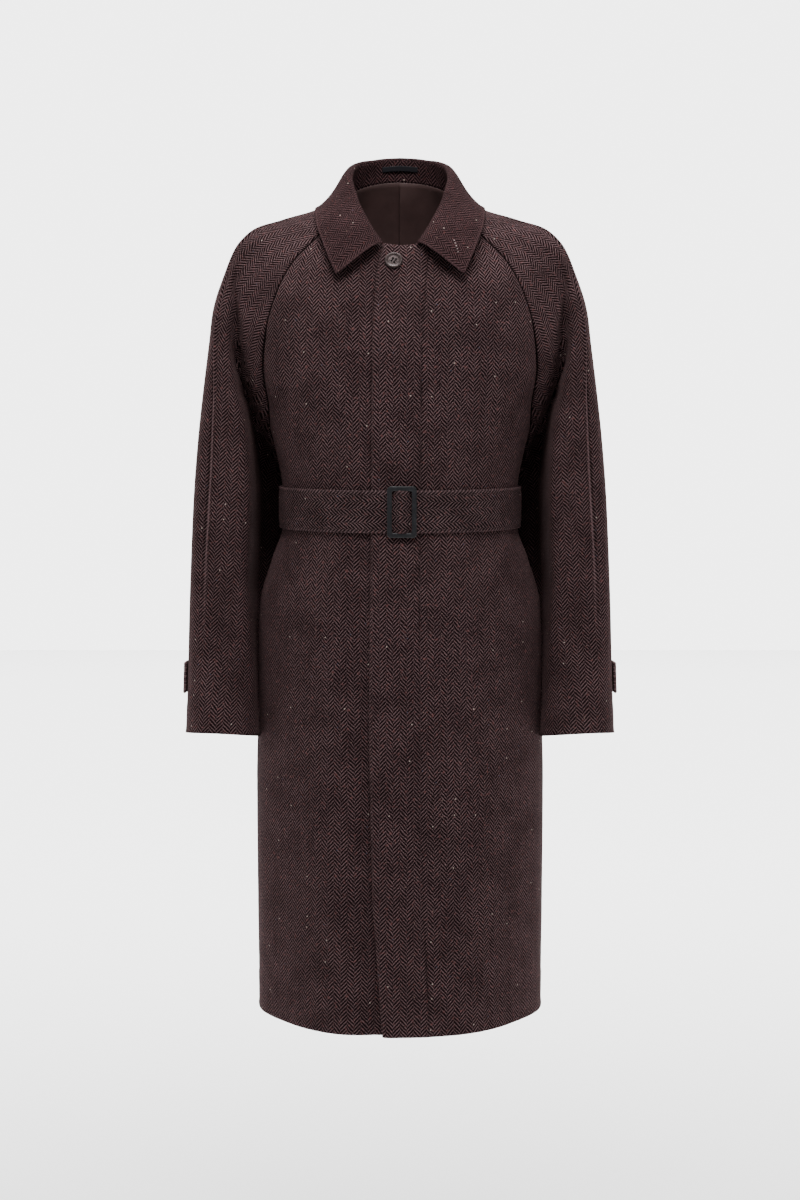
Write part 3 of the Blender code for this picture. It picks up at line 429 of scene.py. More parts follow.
def panel(name, grid, u, v, thick, finish, away=None, rounded=0.0, painted_light=None, rim_painted_highlight=0.0):
    """A closed wall of cloth. The grid is its outer face. Rounded is how far its edges bulge.
    Painted light for the outer face and the rims: above 0 a painted highlight, below 0 painted shade."""
    away = normals(grid) if away is None else away
    inner = grid - away * thick
    rows, columns = grid.shape[:2]
    number = np.arange(rows * columns).reshape(rows, columns)
    size = number.size
    a, b, d, e = number[:-1, :-1], number[:-1, 1:], number[1:, 1:], number[1:, :-1]
    outer_faces = np.stack([a, b, d, e], axis=-1).reshape(-1, 4)
    inner_faces = outer_faces[:, ::-1] + size
    border = np.concatenate([number[0], number[1:, -1], number[-1, -2::-1], number[-2:0:-1, 0]])
    past = np.zeros_like(grid)
    past[0] += unit(grid[0] - grid[1])
    past[-1] += unit(grid[-1] - grid[-2])
    past[:, 0] += unit(grid[:, 0] - grid[:, 1])
    past[:, -1] += unit(grid[:, -1] - grid[:, -2])
    flat_past = unit(past.reshape(-1, 3)[border])
    middle = (grid.reshape(-1, 3)[border] + inner.reshape(-1, 3)[border]) / 2 + flat_past * thick * rounded
    rim = 2 * size + np.arange(len(border))
    after, rim_after = np.roll(border, -1), np.roll(rim, -1)
    rim_faces = np.concatenate([
        np.stack([border, rim, rim_after, after], axis=-1),
        np.stack([rim, border + size, after + size, rim_after], axis=-1),
    ])
    vertices = np.concatenate([grid.reshape(-1, 3), inner.reshape(-1, 3), middle])
    uv = np.stack([u.reshape(-1), v.reshape(-1)], axis=-1)
    uv = np.concatenate([uv, uv, uv[border] + RIM_UV])
    outer_painted_light = np.zeros(size) if painted_light is None else painted_light.reshape(-1)
    painted_light = np.concatenate([outer_painted_light, np.zeros(size), np.full(len(border), rim_painted_highlight)])
    return new_mesh(name, vertices, np.concatenate([outer_faces, inner_faces, rim_faces]), finish, uv, painted_light)


def sewn(piece, nodes):
    """Fastens a cloth piece to the model's root body and hides the solids that it stands for."""
    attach(piece, "root")
    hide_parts(*nodes)


# %% [markdown]
# ## Creases
# Worn cloth is never quite even. Small folds start where the belt draws the waist in, drag lines run from the
# underarm, and the skirt hangs in long soft flutes. Blender's cloth simulation could find folds, but it would
# lose the pressed, tidy look of this coat, so each fold is listed as a soft ridge or trough along a line.

# %% Crease tables
NEAR_HEM = -1.04
CreaseRow = namedtuple("CreaseRow", "u0 z0 u1 z1 width height")
FRONT_CREASES = [
    CreaseRow(0.058, -0.362, 0.064, -0.305, 0.009, 0.0011),
    CreaseRow(0.083, -0.362, 0.094, -0.285, 0.011, -0.0013),
    CreaseRow(0.112, -0.363, 0.128, -0.300, 0.010, 0.0012),
    CreaseRow(0.140, -0.363, 0.158, -0.275, 0.012, -0.0014),
    CreaseRow(0.046, -0.419, 0.050, -0.500, 0.012, -0.0011),
    CreaseRow(0.078, -0.419, 0.088, -0.475, 0.010, 0.0010),
    CreaseRow(0.104, -0.420, 0.118, -0.520, 0.013, -0.0014),
    CreaseRow(0.146, -0.420, 0.168, -0.500, 0.013, 0.0012),
    CreaseRow(0.185, -0.270, 0.120, -0.185, 0.016, -0.0016),
    CreaseRow(0.180, -0.235, 0.135, -0.150, 0.014, 0.0012),
    CreaseRow(0.085, -0.600, 0.098, -1.049, 0.034, 0.0018),
    CreaseRow(0.150, -0.640, 0.172, -1.049, 0.030, -0.0020),
    CreaseRow(0.215, -0.560, 0.240, -1.049, 0.028, 0.0018),
]
BACK_CREASES = [
    CreaseRow(-0.150, -0.363, -0.165, -0.280, 0.013, -0.0024),
    CreaseRow(-0.112, -0.362, -0.118, -0.265, 0.012, 0.0022),
    CreaseRow(-0.070, -0.362, -0.078, -0.300, 0.011, -0.0020),
    CreaseRow(-0.026, -0.362, -0.024, -0.275, 0.012, 0.0020),
    CreaseRow(0.018, -0.363, 0.022, -0.290, 0.011, -0.0018),
    CreaseRow(0.060, -0.362, 0.069, -0.260, 0.013, 0.0024),
    CreaseRow(0.104, -0.362, 0.112, -0.300, 0.010, -0.0020),
    CreaseRow(0.145, -0.363, 0.160, -0.270, 0.012, 0.0020),
    CreaseRow(-0.135, -0.420, -0.150, -0.520, 0.014, 0.0020),
    CreaseRow(-0.082, -0.420, -0.090, -0.500, 0.012, -0.0020),
    CreaseRow(-0.038, -0.420, -0.041, -0.545, 0.013, 0.0018),
    CreaseRow(0.010, -0.420, 0.012, -0.490, 0.011, -0.0018),
    CreaseRow(0.062, -0.420, 0.070, -0.535, 0.014, 0.0021),
    CreaseRow(0.120, -0.420, 0.134, -0.500, 0.012, -0.0020),
    CreaseRow(-0.190, -0.580, -0.225, -1.049, 0.034, 0.0036),
    CreaseRow(-0.095, -0.560, -0.112, -1.049, 0.032, -0.0040),
    CreaseRow(-0.012, -0.600, -0.006, -1.049, 0.036, 0.0036),
    CreaseRow(0.088, -0.570, 0.104, -1.049, 0.030, -0.0038),
    CreaseRow(0.180, -0.590, 0.212, -1.049, 0.034, 0.0034),
    CreaseRow(0.175, -0.250, 0.090, -0.120, 0.018, -0.0026),
    CreaseRow(-0.178, -0.245, -0.100, -0.135, 0.017, -0.0024),
]


def creased(u, z, rows, scale=1.0):
    """Heights of soft folds, each along a line between two places on a panel. It fades at both ends,
    or runs out at full height where it ends at the hem."""
    total = np.zeros_like(u)
    for row in rows:
        du, dz = row.u1 - row.u0, row.z1 - row.z0
        length = math.hypot(du, dz)
        t = ((u - row.u0) * du + (z - row.z0) * dz) / length ** 2
        off = ((u - row.u0) * dz - (z - row.z0) * du) / length
        bend = 0.12 * row.width * np.sin(5.0 * t + 40.0 * row.u0)
        if row.z1 < NEAR_HEM:
            fade = ease(t / 0.45)
        else:
            fade = ease(t / 0.25 + 0.35) * ease((1 - t) / 0.55)
        total += row.height * scale * fade * bell(off - bend, row.width)
    return total


print(len(FRONT_CREASES), "folds on a front,", len(BACK_CREASES), "on the back")

# %% [markdown]
# ## Fronts and back
# The left front laps over the right and hides the buttons behind a fly, so one plain edge and a faint line of
# stitching run down the coat. The right front goes on beneath it. The back is one panel. Each seam is a shallow
# furrow, because the two cloths turn in there, and the free edges are pressed a little round.

# %% Body surfaces
SKIRT_ROWS = 150
RAGLAN_ROWS = 60
FRONT_COLUMNS = 104
BACK_COLUMNS = 141
FLY_STITCH = 0.062
HEM_DEPTH = 0.046
CUFF_DEPTH = 0.040


def body_rows(front, skirt=None):
    z = np.linspace(HEM_Z, UNDERARM_Z, SKIRT_ROWS)[:-1] if skirt is None else skirt
    side = np.stack([smooth(BODY, "z", "side_x", z), np.full_like(z, SIDE_Y), z], axis=-1)
    depth = smooth(BODY, "z", "front_y" if front else "back_y", z)
    centre = np.stack([np.zeros_like(z), depth, z], axis=-1)
    seam = FRONT_RAGLAN if front else BACK_RAGLAN
    along = np.linspace(1.0, 0.0, RAGLAN_ROWS)
    seam_end = points(seam, "along", ("x", "y", "z"), along)
    seam_centre = np.insert(points(seam, "along", ("centre_y", "centre_z"), along), 0, 0.0, axis=1)
    turn = np.concatenate([np.full_like(z, 90.0), smooth(seam, "along", "turn", along)])
    return np.concatenate([centre, seam_centre]), np.concatenate([side, seam_end]), np.radians(turn)


def body_grid(front, across):
    centre, seam, turn = (part[:, None] for part in body_rows(front))
    angle = across * turn
    x = seam[..., 0] * np.sin(angle) / np.sin(turn)
    y = centre[..., 1] + (seam[..., 1] - centre[..., 1]) * (1 - np.cos(angle)) / (1 - np.cos(turn))
    z = centre[..., 2] + (seam[..., 2] - centre[..., 2]) * across ** 2
    return np.stack([x, y, z], axis=-1)


def edge_across(edge_x):
    centre, seam, turn = body_rows(True)
    x = smooth(LAP, "z", "edge_x", centre[:, 2]) if edge_x is None else edge_x
    return np.arcsin(x * np.sin(turn) / seam[:, 0]) / turn


def body_cut(grid, front):
    """Places on the flat cut: across from the centre line, and up from the hem."""
    length = run_length(grid, 1)
    u = np.empty_like(length)
    for r in range(len(grid)):
        x = grid[r, :, 0]
        order = np.argsort(x)
        u[r] = length[r] - np.interp(0.0, x[order], length[r][order])
    if grid[0, 0, 0] > grid[0, -1, 0]:
        u = -u
    centre = body_rows(front)[0]
    up = np.concatenate([[0.0], np.cumsum(np.linalg.norm(np.diff(centre, axis=0), axis=-1))])
    return u, up[:, None] + grid[..., 2] - centre[:, None, 2]


def close_at_ends(count, share):
    """Places from 0 to 1 that stand closer together at both ends, where seams and edges need them."""
    t = np.linspace(0, 1, count)
    return t - share * np.sin(2 * math.pi * t) / (2 * math.pi)


def furrow(distance, depth=0.0017, width=0.0024):
    return -depth * bell(distance, width)


def painted_seam_shade(distance, width=0.0015):
    """A dark line of painted shade along a seam's furrow, for a panel's painted light."""
    return -bell(distance, width)


def off_underarm(z):
    """Seams lie flush where they all meet, at the underarm."""
    return ease(np.abs(z - UNDERARM_Z) / 0.030)


def hem_turn(up, depth=HEM_DEPTH):
    """The turned hem is a little thicker than the cloth above it."""
    return 0.0007 * ease((0.0060 - up) / 0.004) + 0.0005 * ease((depth - up) / 0.006)


# %% Left front
spread = close_at_ends(FRONT_COLUMNS, 0.65)
first = edge_across(None)[:, None]
left = body_grid(True, first + (1 - first) * spread)
left_u, left_v = body_cut(left, True)
from_edge = run_length(left, 1)
to_seam = row_length(left) - from_edge
lift = 0.0014 * ease((0.026 - from_edge) / 0.022) - 0.0022 * ease((0.0030 - from_edge) / 0.003)
lift += -0.0015 * bell(from_edge - FLY_STITCH, 0.0026)
lift += 0.0008 * bell(from_edge - FLY_STITCH + 0.007, 0.006)
lift += (furrow(to_seam) * off_underarm(left[..., 2]) + creased(left_u, left[..., 2], FRONT_CREASES)
         + hem_turn(left_v))
left_plain, left_away = left, normals(left)
left = left + left_away * lift[..., None]
# Painted shade along the seam and in the fly stitch's groove, a painted highlight along the lap edge and on the
# rims.
left_painted_light = painted_seam_shade(to_seam) - 0.55 * bell(from_edge - FLY_STITCH, 0.0013)
left_painted_light += 0.18 * bell(from_edge - 0.0015, 0.0020)
front_left = panel("coat_front_left", left, left_u, left_v, CLOTH, coat_tweed, left_away,
                   rounded=0.35, painted_light=left_painted_light, rim_painted_highlight=0.4)
sewn(front_left, ["front_left"])

# %% Right front, made on the left and mirrored
LAP_START = 0.004
TROUGH_TOP = -0.46
TROUGH_WIDTH = 0.060
TROUGH_DEPTH = 0.0095
CREASE_SHIFT = 0.006
CREASE_SHARE = 0.9
first = edge_across(-UNDERLAP)[:, None]
under = body_grid(True, first + (1 - first) * spread)
lap_edge = -smooth(LAP, "z", "edge_x", body_rows(True)[0][:, 2])[:, None]
sunk = ease((lap_edge + LAP_BLEND - under[..., 0]) / (LAP_BLEND - LAP_START)) * (CLOTH + LAP_GAP)
trough = ease((TROUGH_TOP - under[..., 2]) / 0.30)
trough = trough * ease((lap_edge + TROUGH_WIDTH - under[..., 0]) / 0.056) * TROUGH_DEPTH
to_seam = row_length(under) - run_length(under, 1)
under_u, under_v = body_cut(under, True)
fall = (furrow(to_seam) * off_underarm(under[..., 2])
        + creased(under_u, under[..., 2] + CREASE_SHIFT, FRONT_CREASES, CREASE_SHARE) + hem_turn(under_v))
right_away = normals(under)
right = mirrored(under + right_away * (fall - sunk - trough)[..., None])
right_away = mirrored(right_away)
right_u, right_v = -under_u[:, ::-1], under_v[:, ::-1]
# Painted shadow under the left front's lap edge, painted shade along the seam, a painted highlight on the rims.
lap_shadow = 0.45 * bell(under[..., 0] - lap_edge - 0.001, 0.0025)
right_painted_light = (painted_seam_shade(to_seam) - lap_shadow)[:, ::-1]
front_right = panel("coat_front_right", right, right_u, right_v, CLOTH, coat_tweed, right_away,
                    rounded=0.3, painted_light=right_painted_light, rim_painted_highlight=0.4)
sewn(front_right, ["front_right"])

# %% Back
half = body_grid(False, 1 - close_at_ends(BACK_COLUMNS // 2 + 1, 0.6)[None, :])
behind = both_halves(half)
back_u, back_v = body_cut(behind, False)
length = run_length(behind, 1)
lift = furrow(np.minimum(length, row_length(behind) - length)) * off_underarm(behind[..., 2]) + hem_turn(back_v)
lift += creased(back_u, behind[..., 2], BACK_CREASES)
behind_away = normals(behind)
behind_plain = behind
behind = behind + behind_away * lift[..., None]
# Painted shade along the seams and a painted highlight on the rims.
back_painted_light = painted_seam_shade(np.minimum(length, row_length(behind) - length))
back = panel("coat_back", behind, back_u, back_v, CLOTH, coat_tweed, behind_away,
             rounded=0.3, painted_light=back_painted_light, rim_painted_highlight=0.4)
sewn(back, ["back"])

# %% [markdown]
# ## Raglan sleeves
# A raglan sleeve runs up to the neck, so one surface is shoulder and sleeve at once. Each section goes from the
# outermost line round to the body seam above the underarm, and round to the underarm seam below it. A deep fold
# runs down in front of the arm where the sleeve hangs away from the chest. The solids hold it as an even trough.
# Here it is steep on the arm's side and soft on the other, as in worn cloth. The overarm seam is a thin ridge.
# Beside the body the front half turns in as a step. Both halves are tucked in towards the waist, and the back half
# bellies towards the skirt. That takes its inner side up to 6 mm into the skirt beside the hip, out of sight.
# The shoulder lies 3 mm lower beside the neck than in the solids, and the cuff ends 8 mm higher.

# %% Sleeve surfaces
TUBE_ROWS = 110
SLEEVE_FRONT_COLUMNS = 104
OVERARM_COLUMNS = 22
SLEEVE_BACK_COLUMNS = 60
SHOULDER_DROP = 0.0032
CUFF_LIFT = 0.0076
ValleyRow = namedtuple("ValleyRow", "along across outer_width inner_width depth")
FRONT_VALLEY = [
    ValleyRow(0.36, 0.42, 0.14, 0.20, 0.000),
    ValleyRow(0.55, 0.43, 0.11, 0.18, 0.008),
    ValleyRow(0.72, 0.49, 0.08, 0.16, 0.018),
    ValleyRow(0.88, 0.61, 0.08, 0.14, 0.026),
    ValleyRow(1.00, 0.68, 0.08, 0.13, 0.028),
    ValleyRow(1.10, 0.72, 0.08, 0.13, 0.022),
    ValleyRow(1.24, 0.76, 0.09, 0.13, 0.010),
    ValleyRow(1.45, 0.80, 0.12, 0.14, 0.000),
]
TurnRow = namedtuple("TurnRow", "along across depth")
TURN_IN = [
    TurnRow(0.80, 0.56, 0.000),
    TurnRow(0.95, 0.62, 0.007),
    TurnRow(1.10, 0.66, 0.022),
    TurnRow(1.20, 0.68, 0.031),
    TurnRow(1.33, 0.69, 0.035),
    TurnRow(1.50, 0.73, 0.032),
    TurnRow(1.65, 0.80, 0.020),
    TurnRow(1.80, 0.87, 0.008),
    TurnRow(2.00, 0.92, 0.000),
]
TURN_DEPTH = 0.035
TURN_SHADE = 0.70
BACK_VALLEY = [
    ValleyRow(0.45, 0.52, 0.15, 0.18, 0.000),
    ValleyRow(0.80, 0.56, 0.12, 0.18, 0.014),
    ValleyRow(0.98, 0.62, 0.10, 0.17, 0.017),
    ValleyRow(1.15, 0.68, 0.11, 0.16, 0.009),
    ValleyRow(1.40, 0.74, 0.14, 0.16, 0.000),
]
TuckRow = namedtuple("TuckRow", "along in_by belly")
TUCK = [
    TuckRow(1.00, 0.0000, 0.000),
    TuckRow(1.06, 0.0010, 0.000),
    TuckRow(1.12, 0.0050, 0.000),
    TuckRow(1.25, 0.0060, 0.000),
    TuckRow(1.40, 0.0070, 0.000),
    TuckRow(1.55, 0.0060, 0.008),
    TuckRow(1.70, 0.0040, 0.016),
    TuckRow(1.85, 0.0034, 0.016),
    TuckRow(1.93, 0.0040, 0.008),
    TuckRow(2.00, 0.0046, 0.000),
]
SLEEVE_FRONT_CREASES = [
    CreaseRow(0.22, 1.30, 0.58, 1.37, 0.035, -0.0016),
    CreaseRow(0.30, 1.42, 0.75, 1.36, 0.030, 0.0018),
    CreaseRow(0.40, 1.50, 0.85, 1.57, 0.034, -0.0018),
    CreaseRow(0.20, 1.60, 0.55, 1.55, 0.030, 0.0014),
    CreaseRow(0.45, 1.74, 0.80, 1.69, 0.032, -0.0014),
    CreaseRow(0.30, 0.62, 0.36, 1.30, 0.060, 0.0012),
]
SLEEVE_BACK_CREASES = [
    CreaseRow(0.25, 1.32, 0.70, 1.40, 0.034, -0.0028),
    CreaseRow(0.20, 1.46, 0.75, 1.40, 0.034, 0.0026),
    CreaseRow(0.35, 1.52, 0.85, 1.60, 0.032, -0.0026),
    CreaseRow(0.15, 1.66, 0.60, 1.58, 0.034, 0.0022),
    CreaseRow(0.40, 1.78, 0.80, 1.72, 0.034, -0.0018),
]


def sleeve_ends(along, front):
    seam = FRONT_RAGLAN if front else BACK_RAGLAN
    way = -1.0 if front else 1.0
    on_seam = np.minimum(along, 1.0)
    end = np.where(
        (along <= 1.0)[:, None],
        points(seam, "along", ("x", "y", "z"), on_seam),
        points(UNDERARM, "along", ("x", "y", "z"), np.maximum(along, 1.0)),
    )
    turn = np.radians(smooth(seam, "along", "turn", on_seam))
    reach = np.abs(end[:, 1] - smooth(seam, "along", "centre_y", on_seam))
    run_on = np.stack([
        end[:, 0] * turn * np.cos(turn) / np.sin(turn),
        -way * reach * turn * np.sin(turn) / (1 - np.cos(turn)),
        2 * (end[:, 2] - smooth(seam, "along", "centre_z", on_seam)),
    ], axis=-1)
    level = np.array([1.0, way * 0.1, 0.15])
    lean = smooth(UNDERARM, "along", "lean", np.maximum(along, 1.0))
    round_arm = np.stack([lean, np.full_like(lean, way), np.zeros_like(lean)], axis=-1)
    to_level = ease((along - 0.40) / 0.30)[:, None]
    to_arm = ease((along - 0.80) / 0.32)[:, None]
    beside = (1 - to_level) * unit(run_on) + to_level * unit(level)
    return end, unit((1 - to_arm) * unit(beside) + to_arm * unit(round_arm))


def bezier(start, leave, arrive, end, t):
    t = t[..., None]
    return (1 - t) ** 3 * start + 3 * t * (1 - t) ** 2 * leave + 3 * t * t * (1 - t) * arrive + t ** 3 * end


def sleeve_half(along, across, front):
    outer = points(SLEEVE, "along", ("x", "y", "z"), along)
    outer[:, 2] -= SHOULDER_DROP * ease(along / 0.16) * ease((0.46 - along) / 0.18)
    end, direction = sleeve_ends(along, front)
    side = "front" if front else "back"
    way = np.array([0.0, -1.0 if front else 1.0, 0.0])
    leave = (outer + way * smooth(SLEEVE, "along", side + "_out", along)[:, None])[:, None]
    arrive = (end + direction * smooth(SLEEVE, "along", side + "_in", along)[:, None])[:, None]
    grid = bezier(outer[:, None], leave, arrive, end[:, None], across)
    if front:
        grid[..., 2] += CUFF_RISE * (ease((along - 1.7) / 0.3)[:, None] * np.sin(math.pi * across))
        past = across - smooth(TURN_IN, "along", "across", along)[:, None]
        turned = 1.3 * np.tanh(past / 0.017) * bell(past, 0.20) * ease((1 - across) / 0.10)
        grid[..., 1] += smooth(TURN_IN, "along", "depth", along)[:, None] * turned
    grid[..., 0] -= smooth(TUCK, "along", "in_by", along)[:, None] * ease((across - 0.55) / 0.45)
    if not front:
        bulge = bell(across - 0.72, 0.16) * ease((1 - across) / 0.12)
        grid[..., 0] -= smooth(TUCK, "along", "belly", along)[:, None] * bulge
    grid[..., 2] += CUFF_LIFT * ease((along - 1.5) / 0.5)[:, None]
    return grid


def pressed_one_way(grid, depth):
    """A fold pressed in the same direction all along each section, so that its two sides can't cross."""
    way = unit((normals(grid) * (depth + 1e-7)[..., None]).sum(axis=1))
    return grid - way[:, None] * depth[..., None]


def valley(along, across, rows):
    """Depths of the long fold beside the arm, steeper towards the outside of the sleeve."""
    off = across - smooth(rows, "along", "across", along)[:, None]
    outer = smooth(rows, "along", "outer_width", along)[:, None]
    inner = smooth(rows, "along", "inner_width", along)[:, None]
    depth = smooth(rows, "along", "depth", along)[:, None]
    return depth * bell(off, np.where(off < 0, outer, inner))


def smoothed_flat(grid, u, v, rounds):
    """Lets a flat cut settle, like cloth smoothed out on a table, until its threads keep their lengths."""
    flat = np.stack([u, v], axis=-1)
    rows, columns = u.shape
    ties = []
    for down, right in ((0, 1), (1, 0), (1, 1), (1, -1)):
        here = (slice(0, rows - down), slice(max(0, -right), columns - max(0, right)))
        there = (slice(down, rows), slice(max(0, right), columns + min(0, right)))
        ties.append((here, there, np.linalg.norm(grid[there] - grid[here], axis=-1)))
    for _ in range(rounds):
        move = np.zeros_like(flat)
        for here, there, length in ties:
            apart = flat[there] - flat[here]
            now = np.linalg.norm(apart, axis=-1)
            pull = apart * (0.5 * (now - length) / (now + 1e-9))[..., None]
            move[here] += pull
            move[there] -= pull
        flat += 0.22 * move
    return flat[..., 0], flat[..., 1]


# %% Sleeve grid and its flat cut
along = np.concatenate([np.linspace(0.0, 1.0, RAGLAN_ROWS), np.linspace(1.0, 2.0, TUBE_ROWS)[1:]])[::-1]
seam_place = smooth(SLEEVE, "along", "seam", along)[:, None]
front_across = 1 - (1 - seam_place) * close_at_ends(SLEEVE_FRONT_COLUMNS, 0.55)
over_across = seam_place * (1 - np.linspace(0, 1, OVERARM_COLUMNS) ** 1.3)
back_across = np.tile(close_at_ends(SLEEVE_BACK_COLUMNS, 0.4), (len(along), 1))
whole = np.concatenate([
    sleeve_half(along, front_across, True),
    sleeve_half(along, over_across, True)[:, 1:],
    sleeve_half(along, back_across, False)[:, 1:],
], axis=1)
every_along = np.tile(along[:, None], (1, whole.shape[1]))
press = np.concatenate([
    valley(along, front_across, FRONT_VALLEY),
    valley(along, over_across, FRONT_VALLEY)[:, 1:],
    valley(along, back_across, BACK_VALLEY)[:, 1:],
], axis=1)
front_rows, back_rows = (np.repeat(along[:, None], n.shape[1], axis=1) for n in (front_across, back_across))
small = np.concatenate([
    creased(front_across, front_rows, SLEEVE_FRONT_CREASES),
    np.zeros((len(along), OVERARM_COLUMNS - 1)),
    creased(back_across, back_rows, SLEEVE_BACK_CREASES)[:, 1:],
], axis=1)
outermost = SLEEVE_FRONT_COLUMNS + OVERARM_COLUMNS - 2
seam_column = SLEEVE_FRONT_COLUMNS - 1
edge_length = run_length(whole, 1)
from_end = np.minimum(edge_length, row_length(whole) - edge_length)
fade = ease(from_end / 0.022)
press, small = press * fade, small * fade
folded = np.concatenate([
    pressed_one_way(whole[:, :outermost + 1], press[:, :outermost + 1]),
    pressed_one_way(whole[:, outermost:], press[:, outermost:])[:, 1:],
], axis=1)
spine = folded[:, outermost]
up_sleeve = np.gradient(spine, axis=0)
for _ in range(60):
    up_sleeve[1:-1] = (up_sleeve[:-2] + 2 * up_sleeve[1:-1] + up_sleeve[2:]) / 4
up_sleeve = unit(up_sleeve)[:, None]
sleeve_v = run_length(spine[None], 1)[0][:, None] + ((folded - spine[:, None]) * up_sleeve).sum(axis=-1)
steps = np.diff(folded, axis=1)
steps = steps - up_sleeve * (steps * up_sleeve).sum(axis=-1, keepdims=True)
round_arm = np.cumsum(np.linalg.norm(steps, axis=-1), axis=1)
sleeve_u = np.concatenate([np.zeros((len(along), 1)), round_arm], axis=1)
sleeve_u = sleeve_u - sleeve_u[:, outermost:outermost + 1]
sleeve_u, sleeve_v = smoothed_flat(folded, sleeve_u, sleeve_v, 500)
print("sleeve grid", whole.shape, "length", round(float(np.ptp(sleeve_v)), 3))

# %% Sleeve relief and pieces
from_overarm = edge_length - edge_length[:, seam_column:seam_column + 1]
ridge = 0.0024 * bell(from_overarm + 0.0030, 0.0024)
ridge -= 0.0014 * bell(from_overarm - 0.0012, 0.0018)
shown = ease((1.85 - every_along) / 0.5) * ease(every_along / 0.3)
ridge = ridge * shown
# Painted highlight on the overarm ridge, painted shade in the groove beside it and along the raglan seam.
sleeve_painted_light = (0.75 * bell(from_overarm + 0.0022, 0.0016)
                - 0.6 * bell(from_overarm - 0.0012, 0.0014)) * shown
sleeve_painted_light += painted_seam_shade(from_end) * ease((1.02 - every_along) / 0.04)
# Painted shade on the front half where it turns in towards the body, as strong as the turn is deep.
past_turn = front_across - smooth(TURN_IN, "along", "across", along)[:, None]
how_deep = smooth(TURN_IN, "along", "depth", along)[:, None] / TURN_DEPTH
sleeve_painted_light[:, :SLEEVE_FRONT_COLUMNS] -= TURN_SHADE * how_deep * ease((past_turn + 0.060) / 0.075)
cuff_up = sleeve_v - sleeve_v[:1]
relief = ridge + small + furrow(from_end) * ease((1.0 - every_along) / 0.12)
relief += hem_turn(cuff_up, CUFF_DEPTH)
sleeve_away = normals(folded)
tube = (along > 0.999)[:, None]
shared = unit(sleeve_away[:, 0] + sleeve_away[:, -1])
for column in (0, -1):
    sleeve_away[:, column] = np.where(tube, shared, sleeve_away[:, column])
sleeve_face = folded + sleeve_away * relief[..., None]
for side, turn in SIDES:
    for part, columns in (("front", slice(0, SLEEVE_FRONT_COLUMNS)), ("back", slice(seam_column, None))):
        u, v, painted_light = sleeve_u[:, columns], sleeve_v[:, columns], sleeve_painted_light[:, columns]
        if side == "right":
            u, v, painted_light = -u[:, ::-1], v[:, ::-1], painted_light[:, ::-1]
        piece = panel(f"coat_sleeve_{part}_{side}", turn(sleeve_face[:, columns]), u, v, CLOTH, coat_tweed,
                      turn(sleeve_away[:, columns]), rounded=0.15, painted_light=painted_light)
        sewn(piece, [f"sleeve_{part}_{side}"])

# %% [markdown]
# ## Collar
# The collar has two parts: a stand that rises from the neck seam inside, and a leaf that rolls over it and falls
# to two points. A collar is two layers of cloth with a stiffener, so its edge is thicker than the panels and
# turned round. The stripes run from the roll to the edge, as they do when it is cut across the cloth. Unlike in
# the solids, the roll is a little wider with lower back corners, so that its top is an arc. The edge lies lower
# round the back, the sides are hollow, and the front edges stand off the chest.

# %% Leaf and stand
COLLAR_COLUMNS = 161
STAND_OFF = 0.011
DropRow = namedtuple("DropRow", "around drop")
EDGE_DROP = [
    DropRow(0.00, 0.0000),
    DropRow(0.40, 0.0000),
    DropRow(0.45, 0.0010),
    DropRow(0.50, 0.0029),
    DropRow(0.56, 0.0066),
    DropRow(0.62, 0.0102),
    DropRow(0.69, 0.0108),
    DropRow(0.85, 0.0080),
    DropRow(1.00, 0.0060),
]
RollRow = namedtuple("RollRow", "around wider lower")
ROLL_SET = [
    RollRow(0.00, 0.0000, 0.0000),
    RollRow(0.36, 0.0008, 0.0000),
    RollRow(0.55, 0.0034, 0.0000),
    RollRow(0.70, 0.0044, 0.0012),
    RollRow(0.84, 0.0016, 0.0040),
    RollRow(0.92, 0.0004, 0.0013),
    RollRow(1.00, 0.0000, 0.0000),
]


def collar_guides(around):
    roll = points(COLLAR, "around", ("roll_x", "roll_y", "roll_z"), around)
    edge = points(COLLAR, "around", ("edge_x", "edge_y", "edge_z"), around)
    edge[:, 2] -= smooth(EDGE_DROP, "around", "drop", around)
    roll[:, 0] += smooth(ROLL_SET, "around", "wider", around)
    roll[:, 2] -= smooth(ROLL_SET, "around", "lower", around)
    level = np.gradient(roll, axis=0)
    level[:, 2] = 0.0
    outward = unit(np.stack([level[:, 1], -level[:, 0], np.zeros(len(around))], axis=-1))
    outward[around >= 1.0] = (0.0, 1.0, 0.0)
    return roll, edge, outward


def collar_leaf(around):
    """Half of the leaf, in rows from its seam inside the roll, over the roll and down to its edge."""
    roll, edge, outward = collar_guides(around)
    up = np.array([0.0, 0.0, 1.0])
    middle = roll - up * ROLL_RADIUS
    rolled = np.radians(np.arange(0, 75, 12))
    rows = [middle + ROLL_RADIUS * (up * math.sin(a) - outward * math.cos(a)) for a in rolled]
    length = np.linalg.norm(edge - roll, axis=-1, keepdims=True)
    t = np.linspace(0, 1, 40) ** 1.15
    bow = bell(around, 0.17)
    puff = 0.12 + 0.09 * bell(around - 0.66, 0.14) + 0.03 * bow
    leave = roll + outward * length * puff[:, None]
    hollow = 0.003 + 0.005 * bell(around - 0.55, 0.22) - 0.003 * bow
    arrive = edge + (roll - edge) * 0.40 - outward * hollow[:, None]
    fall = bezier(roll[None], leave[None], arrive[None], edge[None], np.repeat(t[:, None], len(around), axis=1))
    fall[..., 1] -= STAND_OFF * bow * np.sin(math.pi * t[:, None])
    return np.stack(rows + list(fall), axis=0)


